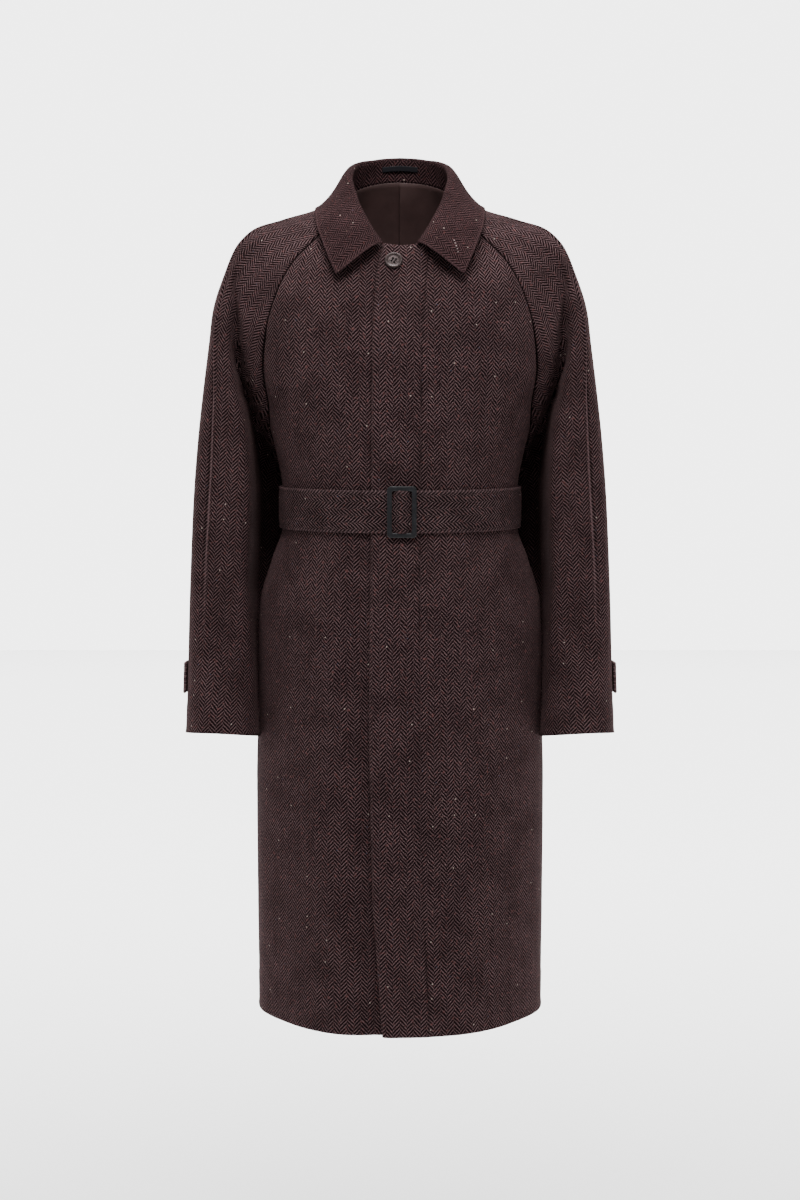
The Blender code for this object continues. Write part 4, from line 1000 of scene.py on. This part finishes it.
around = np.linspace(0, 1, COLLAR_COLUMNS // 2 + 1)
leaf = both_halves(collar_leaf(around))[::-1]
leaf_v = run_length(leaf, 0)
leaf_u = np.repeat(run_length(leaf[20:21], 1), len(leaf), axis=0)
leaf_away = normals(leaf)
leaf_away[-1] = -both_halves(collar_guides(around)[2][None])[0]
edge_gap = np.minimum(leaf_v, np.minimum(run_length(leaf, 1), row_length(leaf) - run_length(leaf, 1)))
swell = 0.0006 * ease((0.010 - edge_gap) / 0.006) - 0.0007 * bell(edge_gap - 0.0068, 0.0016)
swell = swell * ease((0.07 - leaf_v) / 0.03)
swell += 0.0012 * np.sin(leaf_u * 34.0 + 1.0) * ease((leaf_v.max() * 0.9 - leaf_v) / 0.05)
leaf_face = leaf + leaf_away * swell[..., None]
# A painted highlight along the leaf's outer edge and front ends, and on its rims.
leaf_painted_highlight = 0.55 * bell(edge_gap, 0.0020) * ease((0.09 - leaf_v) / 0.02)
leaf_piece = panel("coat_collar_leaf", leaf_face, leaf_u, leaf_v, COLLAR_CLOTH, collar_tweed, leaf_away,
                   rounded=0.45, painted_light=leaf_painted_highlight, rim_painted_highlight=0.6)
sewn(leaf_piece, ["collar_leaf"])

# %% Stand
STAND_ROWS = 16
STAND_START = COLLAR[0].roll_x


def read_off(at, places, values):
    """Reads points or directions off a line at given places along it."""
    return np.stack([np.interp(at, places, values[:, i]) for i in range(3)], axis=-1)


def along_line(line, share):
    length = run_length(line[None], 1)[0]
    return read_off(share, length / length[-1], line)


def neck_edge(inset):
    sleeve_top = whole[-1] - sleeve_away[-1] * inset
    front_top = left_plain[-1] - left_away[-1] * inset
    back_top = behind_plain[-1] - behind_away[-1] * inset
    return np.concatenate([front_top, sleeve_top[1:], back_top[1:BACK_COLUMNS // 2 + 1]])


stand_around = around[5:]
neck = neck_edge(CLOTH)
start = int(np.argmax(neck[:, 0] > STAND_START))
base = along_line(neck[start:], stand_around)
outer_base = along_line(neck_edge(0.0)[start:], stand_around)
raise_up = unit(np.cross(np.gradient(base, axis=0), base - outer_base)) * STAND_GAP
base = base + raise_up * np.sign(raise_up[:, 2:3])
roll, edge, outward = collar_guides(stand_around)
top = roll - np.array([0.0, 0.0, ROLL_RADIUS + SEAM_GAP]) - outward * ROLL_RADIUS
shares = np.linspace(0, 1, STAND_ROWS)
stand = both_halves(np.stack([base + (top - base) * t for t in shares], axis=0))
stand_away = normals(stand)
stand_away[-1] = both_halves(outward[None])[0]
stand_v = run_length(stand, 0)
stand_u = np.repeat(run_length(stand[STAND_ROWS // 2][None], 1), len(stand), axis=0)
stand_face = stand[:, ::-1]
stand_in = -stand_away[:, ::-1]
stand_piece = panel("coat_collar_stand", stand_face, -stand_u[:, ::-1], stand_v[:, ::-1], CLOTH, collar_tweed,
                    stand_in)
sewn(stand_piece, ["collar_stand"])

# %% [markdown]
# ## Belt and buckle
# The belt is a flat tube of the same tweed, cut along the cloth so that its stripes run round the waist. It
# passes through a dark rectangular slide buckle, over a bar at the back of it, so a little of the belt stands
# out in the opening. The body is straight under the belt, so one outline serves every height.

# %% Belt
BUCKLE_Z = -0.3905
BUCKLE_X = 0.0023
BUCKLE_WIDTH = 0.0370
BUCKLE_HEIGHT = 0.0648
BUCKLE_RAIL = 0.0060
BUCKLE_DEPTH = 0.0036
BUCKLE_CORNER = 0.0050
BELT_RISE = 0.0053
BELT_ROWS = 15
waist = BODY[7]
butt = BUCKLE_X - BUCKLE_WIDTH / 2 + BUCKLE_RAIL / 2
window = BUCKLE_WIDTH / 2 - BUCKLE_RAIL


def waist_point(angle):
    """The body's outline at the waist, from the centre front round by the wearer's left."""
    depth = np.where(np.cos(angle) > 0, waist.front_y, waist.back_y) - SIDE_Y
    x, y = waist.side_x * np.sin(angle), SIDE_Y + depth * np.abs(np.cos(angle))
    return np.stack([x, y, np.zeros_like(angle)], axis=-1)


begin = math.asin((butt + SEAM_GAP / 2) / waist.side_x)
end = 2 * math.pi + math.asin((butt - SEAM_GAP / 2) / waist.side_x)
near = np.linspace(begin, 0.20, 70)
angles = np.concatenate([near, np.linspace(0.20, end, 260)[1:]])
outline = waist_point(angles)
way = unit(np.gradient(outline, axis=0))
out = np.stack([way[:, 1], -way[:, 0], np.zeros(len(way))], axis=-1)
rise = np.where(angles < 1.0, BELT_RISE * ease((window - np.abs(outline[:, 0] - BUCKLE_X)) / 0.0092), 0.0)
ripple = 0.00035 * np.sin(angles * 17.0) + 0.0003 * np.sin(angles * 29.0 + 1.0)
from_back = np.abs(angles - math.pi)
ripple = ripple * ease(from_back / 0.2) * ease((math.pi - from_back - 0.22) / 0.2)
heights = np.linspace(BELT_BOTTOM, BELT_TOP, BELT_ROWS)
belt_inner = outline + out * (SEAM_GAP + rise + np.abs(ripple))[:, None]
belt_face = np.repeat((belt_inner + out * BELT_CLOTH)[None], BELT_ROWS, axis=0)
belt_face[..., 2] = heights[:, None]
from_rim = np.minimum(heights - BELT_BOTTOM, BELT_TOP - heights)[:, None]
belt_out = np.repeat(out[None], BELT_ROWS, axis=0)
puff = 0.0004 * ease(from_rim / 0.012) - 0.0008 * bell(from_rim - 0.0045, 0.0016)
belt_grid = belt_face + belt_out * puff[..., None]
belt_v = np.repeat(run_length(belt_inner[None], 1), BELT_ROWS, axis=0)
belt_u = np.repeat(heights[:, None], len(angles), axis=1)
# A painted highlight along both edges of the belt and on its rims.
belt_painted_highlight = np.repeat(0.35 * bell(from_rim, 0.0020), len(angles), axis=1)
belt = panel("coat_belt", belt_grid, belt_u, belt_v, BELT_CLOTH, belt_tweed, belt_out,
             rounded=0.3, painted_light=belt_painted_highlight, rim_painted_highlight=0.3)
sewn(belt, ["belt"])

# %% Buckle finish
def flat_finish(name, colour, worn, roughness, specular, scale):
    """A hard or smooth material: a cloudy colour, a slightly uneven polish and a fine grain."""
    made, tree, shader = new_finish(name, roughness, specular)
    spot = tree.nodes.new("ShaderNodeTexCoord").outputs["Object"]
    clouds = noise(tree, spot, scale, 4.0, 0.6)
    grain = noise(tree, spot, scale * 9.0, 2.0, 0.5)
    colour_out = mixed(tree, mapped(tree, clouds, 0.35, 0.70), colour, worn)
    tree.links.new(colour_out, shader.inputs["Base Color"])
    tree.links.new(mapped(tree, grain, 0.2, 0.8, roughness - 0.08, roughness + 0.10), shader.inputs["Roughness"])
    add_bump(tree, shader, grain, 0.15, 0.0002)
    return made


buckle_black = flat_finish("buckle_black", (0.0072, 0.0074, 0.0088), (0.0145, 0.0150, 0.0178),
                           0.34, 0.45, 160.0)
print("buckle finish", buckle_black.name)

# %% Buckle
OPENING_CORNER = 0.0020
BAR_WIDTH = 0.0036
BAR_DEPTH = 0.0020
BAR_CORNER = 0.0008
BAR_REACH = 0.0300


def squared(value):
    """Draws a circle's cosine or sine out towards a soft square's."""
    return np.sign(value) * np.abs(value) ** 0.45


def rod_faces(start, sides):
    """The sides and both ends of a straight rod, from two rings of points that begin at start."""
    after = [(i + 1) % sides for i in range(sides)]
    faces = [(start + i, start + j, start + sides + j, start + sides + i) for i, j in enumerate(after)]
    return faces + [tuple(range(start, start + sides)), tuple(range(start + sides, start + 2 * sides))]


def soft_rectangle(width, height, corner, steps):
    outline = []
    for quarter, (sx, sz) in enumerate(((1, 1), (-1, 1), (-1, -1), (1, -1))):
        for i in range(steps + 1):
            turn = math.pi / 2 * (quarter + i / steps)
            outline.append((sx * (width / 2 - corner) + corner * math.cos(turn),
                            sz * (height / 2 - corner) + corner * math.sin(turn)))
    return np.array(outline)


def ring_faces(rings, count):
    ring, i = np.meshgrid(np.arange(rings), np.arange(count), indexing="ij")
    here, there = ring * count, (ring + 1) % rings * count
    j = (i + 1) % count
    return np.stack([here + i, here + j, there + j, there + i], axis=-1).reshape(-1, 4)


outer = soft_rectangle(BUCKLE_WIDTH, BUCKLE_HEIGHT, BUCKLE_CORNER, 8)
inner = soft_rectangle(BUCKLE_WIDTH - 2 * BUCKLE_RAIL, BUCKLE_HEIGHT - 2 * BUCKLE_RAIL,
                       OPENING_CORNER, 8)
box_low, box_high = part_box("buckle")
buckle_front = float(box_low[1])
turns = np.linspace(0, 2 * math.pi, 20, endpoint=False)
rings = []
for across, depth in zip(squared(np.cos(turns)), squared(np.sin(turns))):
    flat = outer + (inner - outer) * (0.5 + across / 2)
    y = np.full(len(flat), buckle_front + BUCKLE_DEPTH * (0.5 + depth / 2))
    rings.append(np.stack([BUCKLE_X + flat[:, 0], y, BUCKLE_Z + flat[:, 1]], axis=-1))
frame_points = np.concatenate(rings)
frame_faces = ring_faces(len(rings), len(outer))
bar_y = float(box_high[1]) - BAR_DEPTH / 2
bar = soft_rectangle(BAR_WIDTH, BAR_DEPTH, BAR_CORNER, 3)
bar_ends = []
for end_z in (BUCKLE_Z - BAR_REACH, BUCKLE_Z + BAR_REACH):
    bar_ends.append(np.stack([BUCKLE_X + bar[:, 0], bar_y + bar[:, 1], np.full(len(bar), end_z)], axis=-1))
bar_points = np.concatenate(bar_ends)
faces = [tuple(f) for f in frame_faces] + rod_faces(len(frame_points), len(bar))
buckle = new_mesh("coat_buckle", np.concatenate([frame_points, bar_points]), faces, buckle_black)
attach(buckle, "root")
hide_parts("buckle")
print("buckle", len(faces), "faces, front at", round(buckle_front, 4), "bar at", round(bar_y, 4))

# %% [markdown]
# ## Top button
# One horn button shows above the fly. It is turned, so a profile spun about its middle gives its rim and dish.
# Its four holes are cut with a Boolean, because they must be real holes for the thread to go through, and two
# short slanting bars of thread hold it.

# %% Button
BUTTON_WIDTH = 0.0230
BUTTON_DEPTH = 0.0036
BUTTON_TURN = math.radians(28)
BUTTON_FLOOR = 0.56
HOLE_ACROSS = 0.0019
HOLE_ALONG = 0.0022
HOLE_RADIUS = 0.0011
HOLE_SIDES = 14
button_low, button_high = (np.array(corner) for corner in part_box("button"))
button_at = (button_low + button_high) / 2
slope_rows = left_plain[-RAGLAN_ROWS:]
nearest = np.unravel_index(np.argmin(np.linalg.norm(slope_rows - button_at, axis=-1)), slope_rows.shape[:2])
button_out = left_away[-RAGLAN_ROWS:][nearest]
button_x = unit(np.cross(np.array([0.0, 0.0, 1.0]), button_out))
button_y = np.cross(button_out, button_x)
horn = flat_finish("horn", (0.0125, 0.0088, 0.0083), (0.0460, 0.0330, 0.0315), 0.36, 0.30, 260.0)
horn.node_tree.nodes["Principled BSDF"].inputs["Specular Tint"].default_value = (1.0, 0.78, 0.77, 1.0)
PROFILE = [
    (0.80, 0.00), (0.94, 0.18), (1.00, 0.45), (0.985, 0.70), (0.94, 0.90), (0.87, 0.99), (0.80, 0.97),
    (0.72, 0.80), (0.62, 0.66), (0.48, 0.60), (0.30, 0.57), (0.12, BUTTON_FLOOR),
]


def made_plain(piece, finish):
    """Turns a piece and its modifiers into one plain mesh with one finish."""
    made = bpy.data.meshes.new_from_object(piece.evaluated_get(bpy.context.evaluated_depsgraph_get()))
    piece.modifiers.clear()
    piece.data = made
    made.materials.clear()
    made.materials.append(finish)
    return made


def on_button(x, y, out):
    return button_at + button_x * x + button_y * y + button_out * (out - BUTTON_DEPTH / 2)


def spun(profile, steps):
    vertices = []
    for radius, height in profile:
        for i in range(steps):
            turn = 2 * math.pi * i / steps
            reach = radius * BUTTON_WIDTH / 2
            vertices.append(on_button(reach * math.cos(turn), reach * math.sin(turn), height * BUTTON_DEPTH))
    faces = [tuple(f) for f in ring_faces(len(profile), steps)[:-steps]]
    faces += [tuple(range(steps)), tuple(range(len(vertices) - steps, len(vertices)))]
    return vertices, faces


button_vertices, button_faces = spun(PROFILE, 48)
button = new_mesh("coat_button", button_vertices, button_faces, horn)
hole_places = []
for row, side in ((-1, -1), (-1, 1), (1, -1), (1, 1)):
    x, y = row * HOLE_ACROSS, side * HOLE_ALONG
    hole_places.append((x * math.cos(BUTTON_TURN) + y * math.sin(BUTTON_TURN),
                        -x * math.sin(BUTTON_TURN) + y * math.cos(BUTTON_TURN)))
hole_vertices, hole_faces = [], []
for x, y in hole_places:
    hole_faces += rod_faces(len(hole_vertices), HOLE_SIDES)
    for out_by in (-0.002, 0.006):
        for i in range(HOLE_SIDES):
            turn = 2 * math.pi * i / HOLE_SIDES
            hole_x, hole_y = x + HOLE_RADIUS * math.cos(turn), y + HOLE_RADIUS * math.sin(turn)
            hole_vertices.append(on_button(hole_x, hole_y, out_by))
drill = new_mesh("button_drill", hole_vertices, hole_faces, horn)
cutting = button.modifiers.new("holes", "BOOLEAN")
cutting.operation = "DIFFERENCE"
cutting.solver = "EXACT"
cutting.object = drill
made_plain(button, horn)
bpy.data.objects.remove(drill, do_unlink=True)
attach(button, "root")
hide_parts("button")
print("button", len(button.data.polygons), "faces at", [round(float(x), 4) for x in button_at])

# %% [markdown]
# ## Cuff tabs
# A short tab lies round the back of each cuff. It is made from points of the sleeve itself, moved out, so it
# follows the sleeve however that is shaped. Its free end stands off a little.

# %% Tabs
TAB_LOW = 1.898
TAB_HIGH = 1.821
TAB_TIP = 0.045
TAB_END = 0.75
TAB_ROWS = 15
tab_along = np.linspace(TAB_LOW, TAB_HIGH, TAB_ROWS)
front_end = sleeve_half(tab_along, np.tile(np.linspace(TAB_TIP, 0.0, 7), (TAB_ROWS, 1)), True)
round_back = sleeve_half(tab_along, np.tile(np.linspace(0.0, TAB_END, 60), (TAB_ROWS, 1)), False)
tab = np.concatenate([front_end, round_back[:, 1:]], axis=1)
tab_away = normals(tab)
tab_u = run_length(tab, 1)
tab_v = run_length(tab, 0)
stand_off = 0.0020 + 0.0006 * ease(1 - tab_u / 0.035)
tab_rim = np.minimum(np.minimum(tab_v, tab_v[-1:] - tab_v), np.minimum(tab_u, 0.2))
tab_relief = -0.0006 * bell(tab_rim - 0.0045, 0.0014)
tab_face = tab + tab_away * (stand_off + TAB_CLOTH + tab_relief)[..., None]
# Each tab gets a painted highlight on its free end and on its rims.
for side, turn in SIDES:
    u, v, tab_end_painted_highlight = tab_v, tab_u, 0.5 * bell(tab_u, 0.003)
    if side == "right":
        u, v, tab_end_painted_highlight = u[:, ::-1], -v[:, ::-1], tab_end_painted_highlight[:, ::-1]
    piece = panel("coat_cuff_tab_" + side, turn(tab_face), u, v, TAB_CLOTH + 0.0010, coat_tweed, turn(tab_away),
                  rounded=0.35, painted_light=tab_end_painted_highlight, rim_painted_highlight=0.9)
    sewn(piece, ["cuff_tab_" + side])

# %% [markdown]
# ## Lining and hanger loop
# Inside the neck the back is lined in smooth dark brown cloth with a pleat down the middle, which gives the
# shoulders room, and a short navy tape is sewn to the stand for hanging. Only the part that shows is lined.

# %% Lining and loop finishes
def plain_cloth(name, dark, light, roughness, sheen, threads):
    """A fine plain weave: threads across and along, with faint clouds."""
    made, tree, shader = new_finish(name, roughness, 0.35)
    shader.inputs["Sheen Weight"].default_value = sheen
    place = cloth_place(tree)
    apart = tree.nodes.new("ShaderNodeSeparateXYZ")
    tree.links.new(place, apart.inputs[0])
    waves = []
    for axis in ("X", "Y"):
        phase = value_node(tree, "MULTIPLY", apart.outputs[axis], threads * 2 * math.pi)
        waves.append(value_node(tree, "SINE", phase))
    weave = value_node(tree, "MULTIPLY", waves[0], waves[1])
    clouds = noise(tree, place, 35.0, 3.0, 0.5)
    share = value_node(tree, "MULTIPLY_ADD", weave, 0.15, mapped(tree, clouds, 0.3, 0.7), clamp=True)
    tree.links.new(mixed(tree, share, dark, light), shader.inputs["Base Color"])
    add_bump(tree, shader, weave, 0.25, 0.0002)
    return made


lining_cloth = plain_cloth("lining_cloth", (0.044, 0.0215, 0.0200), (0.058, 0.0290, 0.0275), 0.60, 0.03, 900.0)
loop_cloth = plain_cloth("loop_cloth", (0.0026, 0.0022, 0.0042), (0.0050, 0.0043, 0.0072), 0.95, 0.0, 700.0)
print("lining", lining_cloth.name, loop_cloth.name)

# %% Lining halves
LINING_GAP = 0.0008
LINING_LAP = 0.012
lining = behind_plain[-RAGLAN_ROWS:] - behind_away[-RAGLAN_ROWS:] * (CLOTH + LINING_GAP)
lining_in = -behind_away[-RAGLAN_ROWS:]
lining_u, lining_v = back_u[-RAGLAN_ROWS:], back_v[-RAGLAN_ROWS:]
below_neck = ease((lining_v[-1:] - lining_v) / 0.030)
soft = 0.0008 * np.sin(lining_u * 55.0 + 3.0 * lining_v) * np.sin(lining_v * 21.0 + 0.6) * below_neck
step = (0.0022 + 0.0038 * below_neck) * ease(1 - np.abs(lining_u) / 0.034)
low_x = lining[0, :, 0]
for side, raised, keep in (("left", step, low_x > -1e-6), ("right", 0.0 * step, low_x < LINING_LAP)):
    columns = np.flatnonzero(keep)[::-1]
    face = lining + lining_in * (raised + np.abs(soft) + LINING_CLOTH)[..., None]
    u, v = lining_u[:, columns], lining_v[:, columns]
    piece = panel("coat_lining_" + side, face[:, columns], u, v, LINING_CLOTH, lining_cloth,
                  lining_in[:, columns], rounded=0.4)
    sewn(piece, ["lining_" + side])

# %% Hanger loop
LOOP_HALF = 0.0235
LOOP_LIFT = 0.0022
LOOP_BOW = 0.0022
LOOP_CLOTH = 0.0012
loop_x = np.linspace(-LOOP_HALF, LOOP_HALF, 41)
loop_rows = []
loop_away = []
for share in np.linspace(0.50, 0.72, 7):
    row = int(round(share * (STAND_ROWS - 1)))
    line = stand[0] + (stand[-1] - stand[0]) * share
    use = np.flatnonzero((np.abs(line[:, 0]) < 0.05) & (line[:, 1] > 0.05))
    use = use[np.argsort(line[use, 0])]
    loop_rows.append(read_off(loop_x, line[use, 0], line[use]))
    loop_away.append(read_off(loop_x, line[use, 0], stand_away[row][use]))
loop = np.stack(loop_rows)
inward = -unit(np.stack(loop_away))
bow = LOOP_BOW * (1 - (loop_x / LOOP_HALF) ** 2)
loop = loop + inward * (LOOP_LIFT + bow)[None, :, None]
loop_u = np.repeat(loop_x[None], len(loop), axis=0)
loop_v = run_length(loop, 0)
loop_piece = panel("coat_hanger_loop", loop, loop_u, loop_v, LOOP_CLOTH, loop_cloth, inward, rounded=0.4)
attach(loop_piece, "root")
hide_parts("hanger_loop")
print("loop", round(2 * LOOP_HALF, 3), "by", round(float(np.ptp(loop_v)), 4), "m as it shows")

# %% [markdown]
# ## Stitches
# Thread holds the fly, the belt's edges, the tabs and the collar's edge, and a worked buttonhole shows on one
# collar point. Each run is a row of small thread shapes, so a Geometry Nodes tree lays them along a line. The
# lines follow the cloth made above and lie just on it.

# %% Stitch tree
def thread_finish(name, colour):
    made, tree, shader = new_finish(name, 0.8, 0.2)
    spot = tree.nodes.new("ShaderNodeTexCoord").outputs["Object"]
    tone = mapped(tree, noise(tree, spot, 900.0), 0.3, 0.7)
    tree.links.new(mixed(tree, tone, tuple(c * 0.7 for c in colour), colour), shader.inputs["Base Color"])
    return made


def stitch_tree(finish):
    tree = bpy.data.node_groups.new("stitches_" + finish.name, "GeometryNodeTree")
    tree.interface.new_socket("Geometry", in_out="INPUT", socket_type="NodeSocketGeometry")
    sizes = {}
    for label, size in (("Spacing", 0.004), ("Length", 0.0026), ("Thickness", 0.0005)):
        socket = tree.interface.new_socket(label, in_out="INPUT", socket_type="NodeSocketFloat")
        socket.default_value = size
        sizes[label] = socket.identifier
    tree.interface.new_socket("Geometry", in_out="OUTPUT", socket_type="NodeSocketGeometry")
    given, result = tree.nodes.new("NodeGroupInput"), tree.nodes.new("NodeGroupOutput")
    line = tree.nodes.new("GeometryNodeMeshToCurve")
    places = tree.nodes.new("GeometryNodeCurveToPoints")
    places.mode = "LENGTH"
    turned = tree.nodes.new("FunctionNodeAlignRotationToVector")
    turned.axis = "X"
    bead = tree.nodes.new("GeometryNodeMeshUVSphere")
    bead.inputs["Segments"].default_value = 8
    bead.inputs["Rings"].default_value = 5
    bead.inputs["Radius"].default_value = 0.5
    scale = tree.nodes.new("ShaderNodeCombineXYZ")
    copies = tree.nodes.new("GeometryNodeInstanceOnPoints")
    real = tree.nodes.new("GeometryNodeRealizeInstances")
    coloured = tree.nodes.new("GeometryNodeSetMaterial")
    coloured.inputs["Material"].default_value = finish
    link = tree.links.new
    link(given.outputs["Geometry"], line.inputs["Mesh"])
    link(line.outputs["Curve"], places.inputs["Curve"])
    link(given.outputs["Spacing"], places.inputs["Length"])
    link(places.outputs["Tangent"], turned.inputs["Vector"])
    link(given.outputs["Length"], scale.inputs["X"])
    link(given.outputs["Thickness"], scale.inputs["Y"])
    link(given.outputs["Thickness"], scale.inputs["Z"])
    link(places.outputs["Points"], copies.inputs["Points"])
    link(bead.outputs["Mesh"], copies.inputs["Instance"])
    link(turned.outputs["Rotation"], copies.inputs["Rotation"])
    link(scale.outputs["Vector"], copies.inputs["Scale"])
    link(copies.outputs["Instances"], real.inputs["Geometry"])
    link(real.outputs["Geometry"], coloured.inputs["Geometry"])
    link(coloured.outputs["Geometry"], result.inputs["Geometry"])
    return tree, sizes


def stitched(name, lines, finish, spacing=0.004, length=0.0026, thickness=0.0005):
    """Rows of thread along lines of points, made into one plain mesh."""
    vertices, edges = [], []
    for one in lines:
        first = len(vertices)
        vertices += [tuple(map(float, p)) for p in one]
        edges += [(first + i, first + i + 1) for i in range(len(one) - 1)]
    mesh = bpy.data.meshes.new(name)
    mesh.from_pydata(vertices, edges, [])
    piece = bpy.data.objects.new(name, mesh)
    bpy.context.scene.collection.objects.link(piece)
    tree, sizes = stitch_tree(finish)
    laid = piece.modifiers.new("stitches", "NODES")
    laid.node_group = tree
    for label, size in (("Spacing", spacing), ("Length", length), ("Thickness", thickness)):
        laid[sizes[label]] = size
    made = made_plain(piece, finish)
    made.polygons.foreach_set("use_smooth", np.ones(len(made.polygons), dtype=bool))
    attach(piece, "root")
    print(name, len(lines), "runs,", len(made.polygons), "faces")


# %% Stitch runs
THREAD_LIFT = 0.0002
FLY_TOP = -0.10
brown_thread = thread_finish("brown_thread", (0.040, 0.022, 0.022))
pale_thread = thread_finish("pale_thread", (0.460, 0.370, 0.350))
fly_columns = [int(np.argmin(np.abs(row - FLY_STITCH))) for row in from_edge]
fly_run = np.stack([left[r, c] + left_away[r, c] * THREAD_LIFT for r, c in enumerate(fly_columns)])
fly_run = fly_run[fly_run[:, 2] < FLY_TOP]
belt_runs = [belt_grid[row] + belt_out[row] * THREAD_LIFT for row in (1, BELT_ROWS - 2)]
leaf_run = leaf_face[3, 3:-3] + leaf_away[3, 3:-3] * THREAD_LIFT
tab_runs = []
for _, turn in SIDES:
    sewn_face, sewn_away = turn(tab_face), turn(tab_away)
    tab_runs += [sewn_face[row] + sewn_away[row] * THREAD_LIFT for row in (2, -3)]
stitched("coat_stitches", [fly_run, *belt_runs, leaf_run, *tab_runs], brown_thread)

# %% Button thread
dark_thread = thread_finish("dark_thread", (0.010, 0.007, 0.007))
bar_way = np.array([math.sin(BUTTON_TURN), math.cos(BUTTON_TURN)])
bar_side = np.array([math.cos(BUTTON_TURN), -math.sin(BUTTON_TURN)])
BAR_HALF = 0.0025
reaches = np.linspace(-BAR_HALF, BAR_HALF, 9)
bars = []
for side in (-1, 1):
    spots = [bar_side * side * HOLE_ACROSS + bar_way * reach for reach in reaches]
    arch = [THREAD_LIFT + 0.0005 * (1 - (reach / BAR_HALF) ** 2) for reach in reaches]
    bars.append(np.array([on_button(x, y, BUTTON_FLOOR * BUTTON_DEPTH + up) for (x, y), up in zip(spots, arch)]))
stitched("coat_button_thread", bars, dark_thread, 0.0007, 0.0015, 0.0012)

# %% Worked buttonhole
HOLE_TOP = np.array([0.0683, -0.0505])
HOLE_FOOT = np.array([0.0730, -0.0655])
front_side = (leaf_face[..., 0] > 0) & (leaf_face[..., 1] < -0.03)
candidates, candidate_away = leaf_face[front_side], leaf_away[front_side]
hole_line = []
for share in np.linspace(0, 1, 12):
    spot = HOLE_TOP + (HOLE_FOOT - HOLE_TOP) * share
    gap = np.linalg.norm(candidates[:, [0, 2]] - spot, axis=1)
    close = np.argsort(gap)[:4]
    weight = (1 / (gap[close] + 1e-5))[:, None]
    hole_line.append((candidates[close] * weight).sum(0) / weight.sum() + candidate_away[close[0]] * 0.0003)
stitched("coat_buttonhole", [np.array(hole_line)], pale_thread, 0.0040, 0.0019, 0.0015)

# %% [markdown]
# ## Light, floor and camera
# The coat is shown in even studio light: a white surround that is bright only behind the coat, a soft light above
# and in front, a weak fill on each side, and a wide wash on the floor behind. The camera stands at chest height,
# three metres away.

# %% Floor and lights
FLOOR_Z = -1.45
floor_mesh = bpy.data.meshes.new("floor")
floor_corners = [(x, y, FLOOR_Z) for x, y in ((-9, -7), (9, -7), (9, 7.5), (-9, 7.5))]
floor_mesh.from_pydata(floor_corners, [], [(0, 1, 2, 3)])
pale, _, pale_shader = new_finish("pale_floor", 0.9, 0.1)
pale_shader.inputs["Base Color"].default_value = (0.93, 0.93, 0.93, 1.0)
floor_mesh.materials.append(pale)
floor = bpy.data.objects.new("floor", floor_mesh)
bpy.context.scene.collection.objects.link(floor)

AMBIENT = 0.27
BACKDROP = 4.5
world = bpy.data.worlds.new("studio")
bpy.context.scene.world = world
world.use_nodes = True
sky = world.node_tree
aim = sky.nodes.new("ShaderNodeSeparateXYZ")
sky.links.new(sky.nodes.new("ShaderNodeTexCoord").outputs["Generated"], aim.inputs[0])
sky.nodes["Background"].inputs["Color"].default_value = (1.0, 1.0, 1.0, 1.0)
behind_coat = mapped(sky, aim.outputs["Y"], 0.78, 0.92, AMBIENT, BACKDROP)
sky.links.new(behind_coat, sky.nodes["Background"].inputs["Strength"])


def soft_light(name, place, aim_at, width, height, power, spread=math.pi):
    lamp = bpy.data.lights.new(name, "AREA")
    lamp.shape = "RECTANGLE"
    lamp.size = width
    lamp.size_y = height
    lamp.energy = power
    lamp.spread = spread
    made = bpy.data.objects.new(name, lamp)
    made.location = place
    toward = np.array(aim_at) - np.array(place)
    flat = math.hypot(toward[0], toward[1])
    made.rotation_euler = (math.atan2(flat, -toward[2]), 0.0, math.atan2(-toward[0], toward[1]))
    bpy.context.scene.collection.objects.link(made)


soft_light("top_front", (0.0, -1.32, 1.38), (0.0, -0.05, -0.08), 1.0, 0.6, 39.5)
soft_light("left_fill", (-1.6, -1.4, 0.5), (-0.2, 0.0, -0.3), 0.6, 1.0, 6.0)
soft_light("right_fill", (1.6, -1.4, 0.5), (0.2, 0.0, -0.3), 0.6, 1.0, 6.0)
soft_light("floor_wash", (0.0, 4.6, 3.4), (0.0, 4.6, FLOOR_Z), 9.0, 8.6, 1020.0, 1.1)

# %% Camera
CAMERA_TILT = 5.36
camera_data = bpy.data.cameras.new("camera")
camera_data.lens = 68.7
camera_data.sensor_width = 36.0
camera = bpy.data.objects.new("camera", camera_data)
camera.location = (0.0, -3.0, -0.232)
camera.rotation_euler = (math.radians(90 - CAMERA_TILT), 0.0, 0.0)
bpy.context.scene.collection.objects.link(camera)
bpy.context.scene.camera = camera
print("camera", tuple(camera.location))

# %% [markdown]
# ## Last step
# The dressed coat should stay close to the box of its solids. The last step only updates the scene.

# %% Update the scene
bpy.context.view_layer.update()
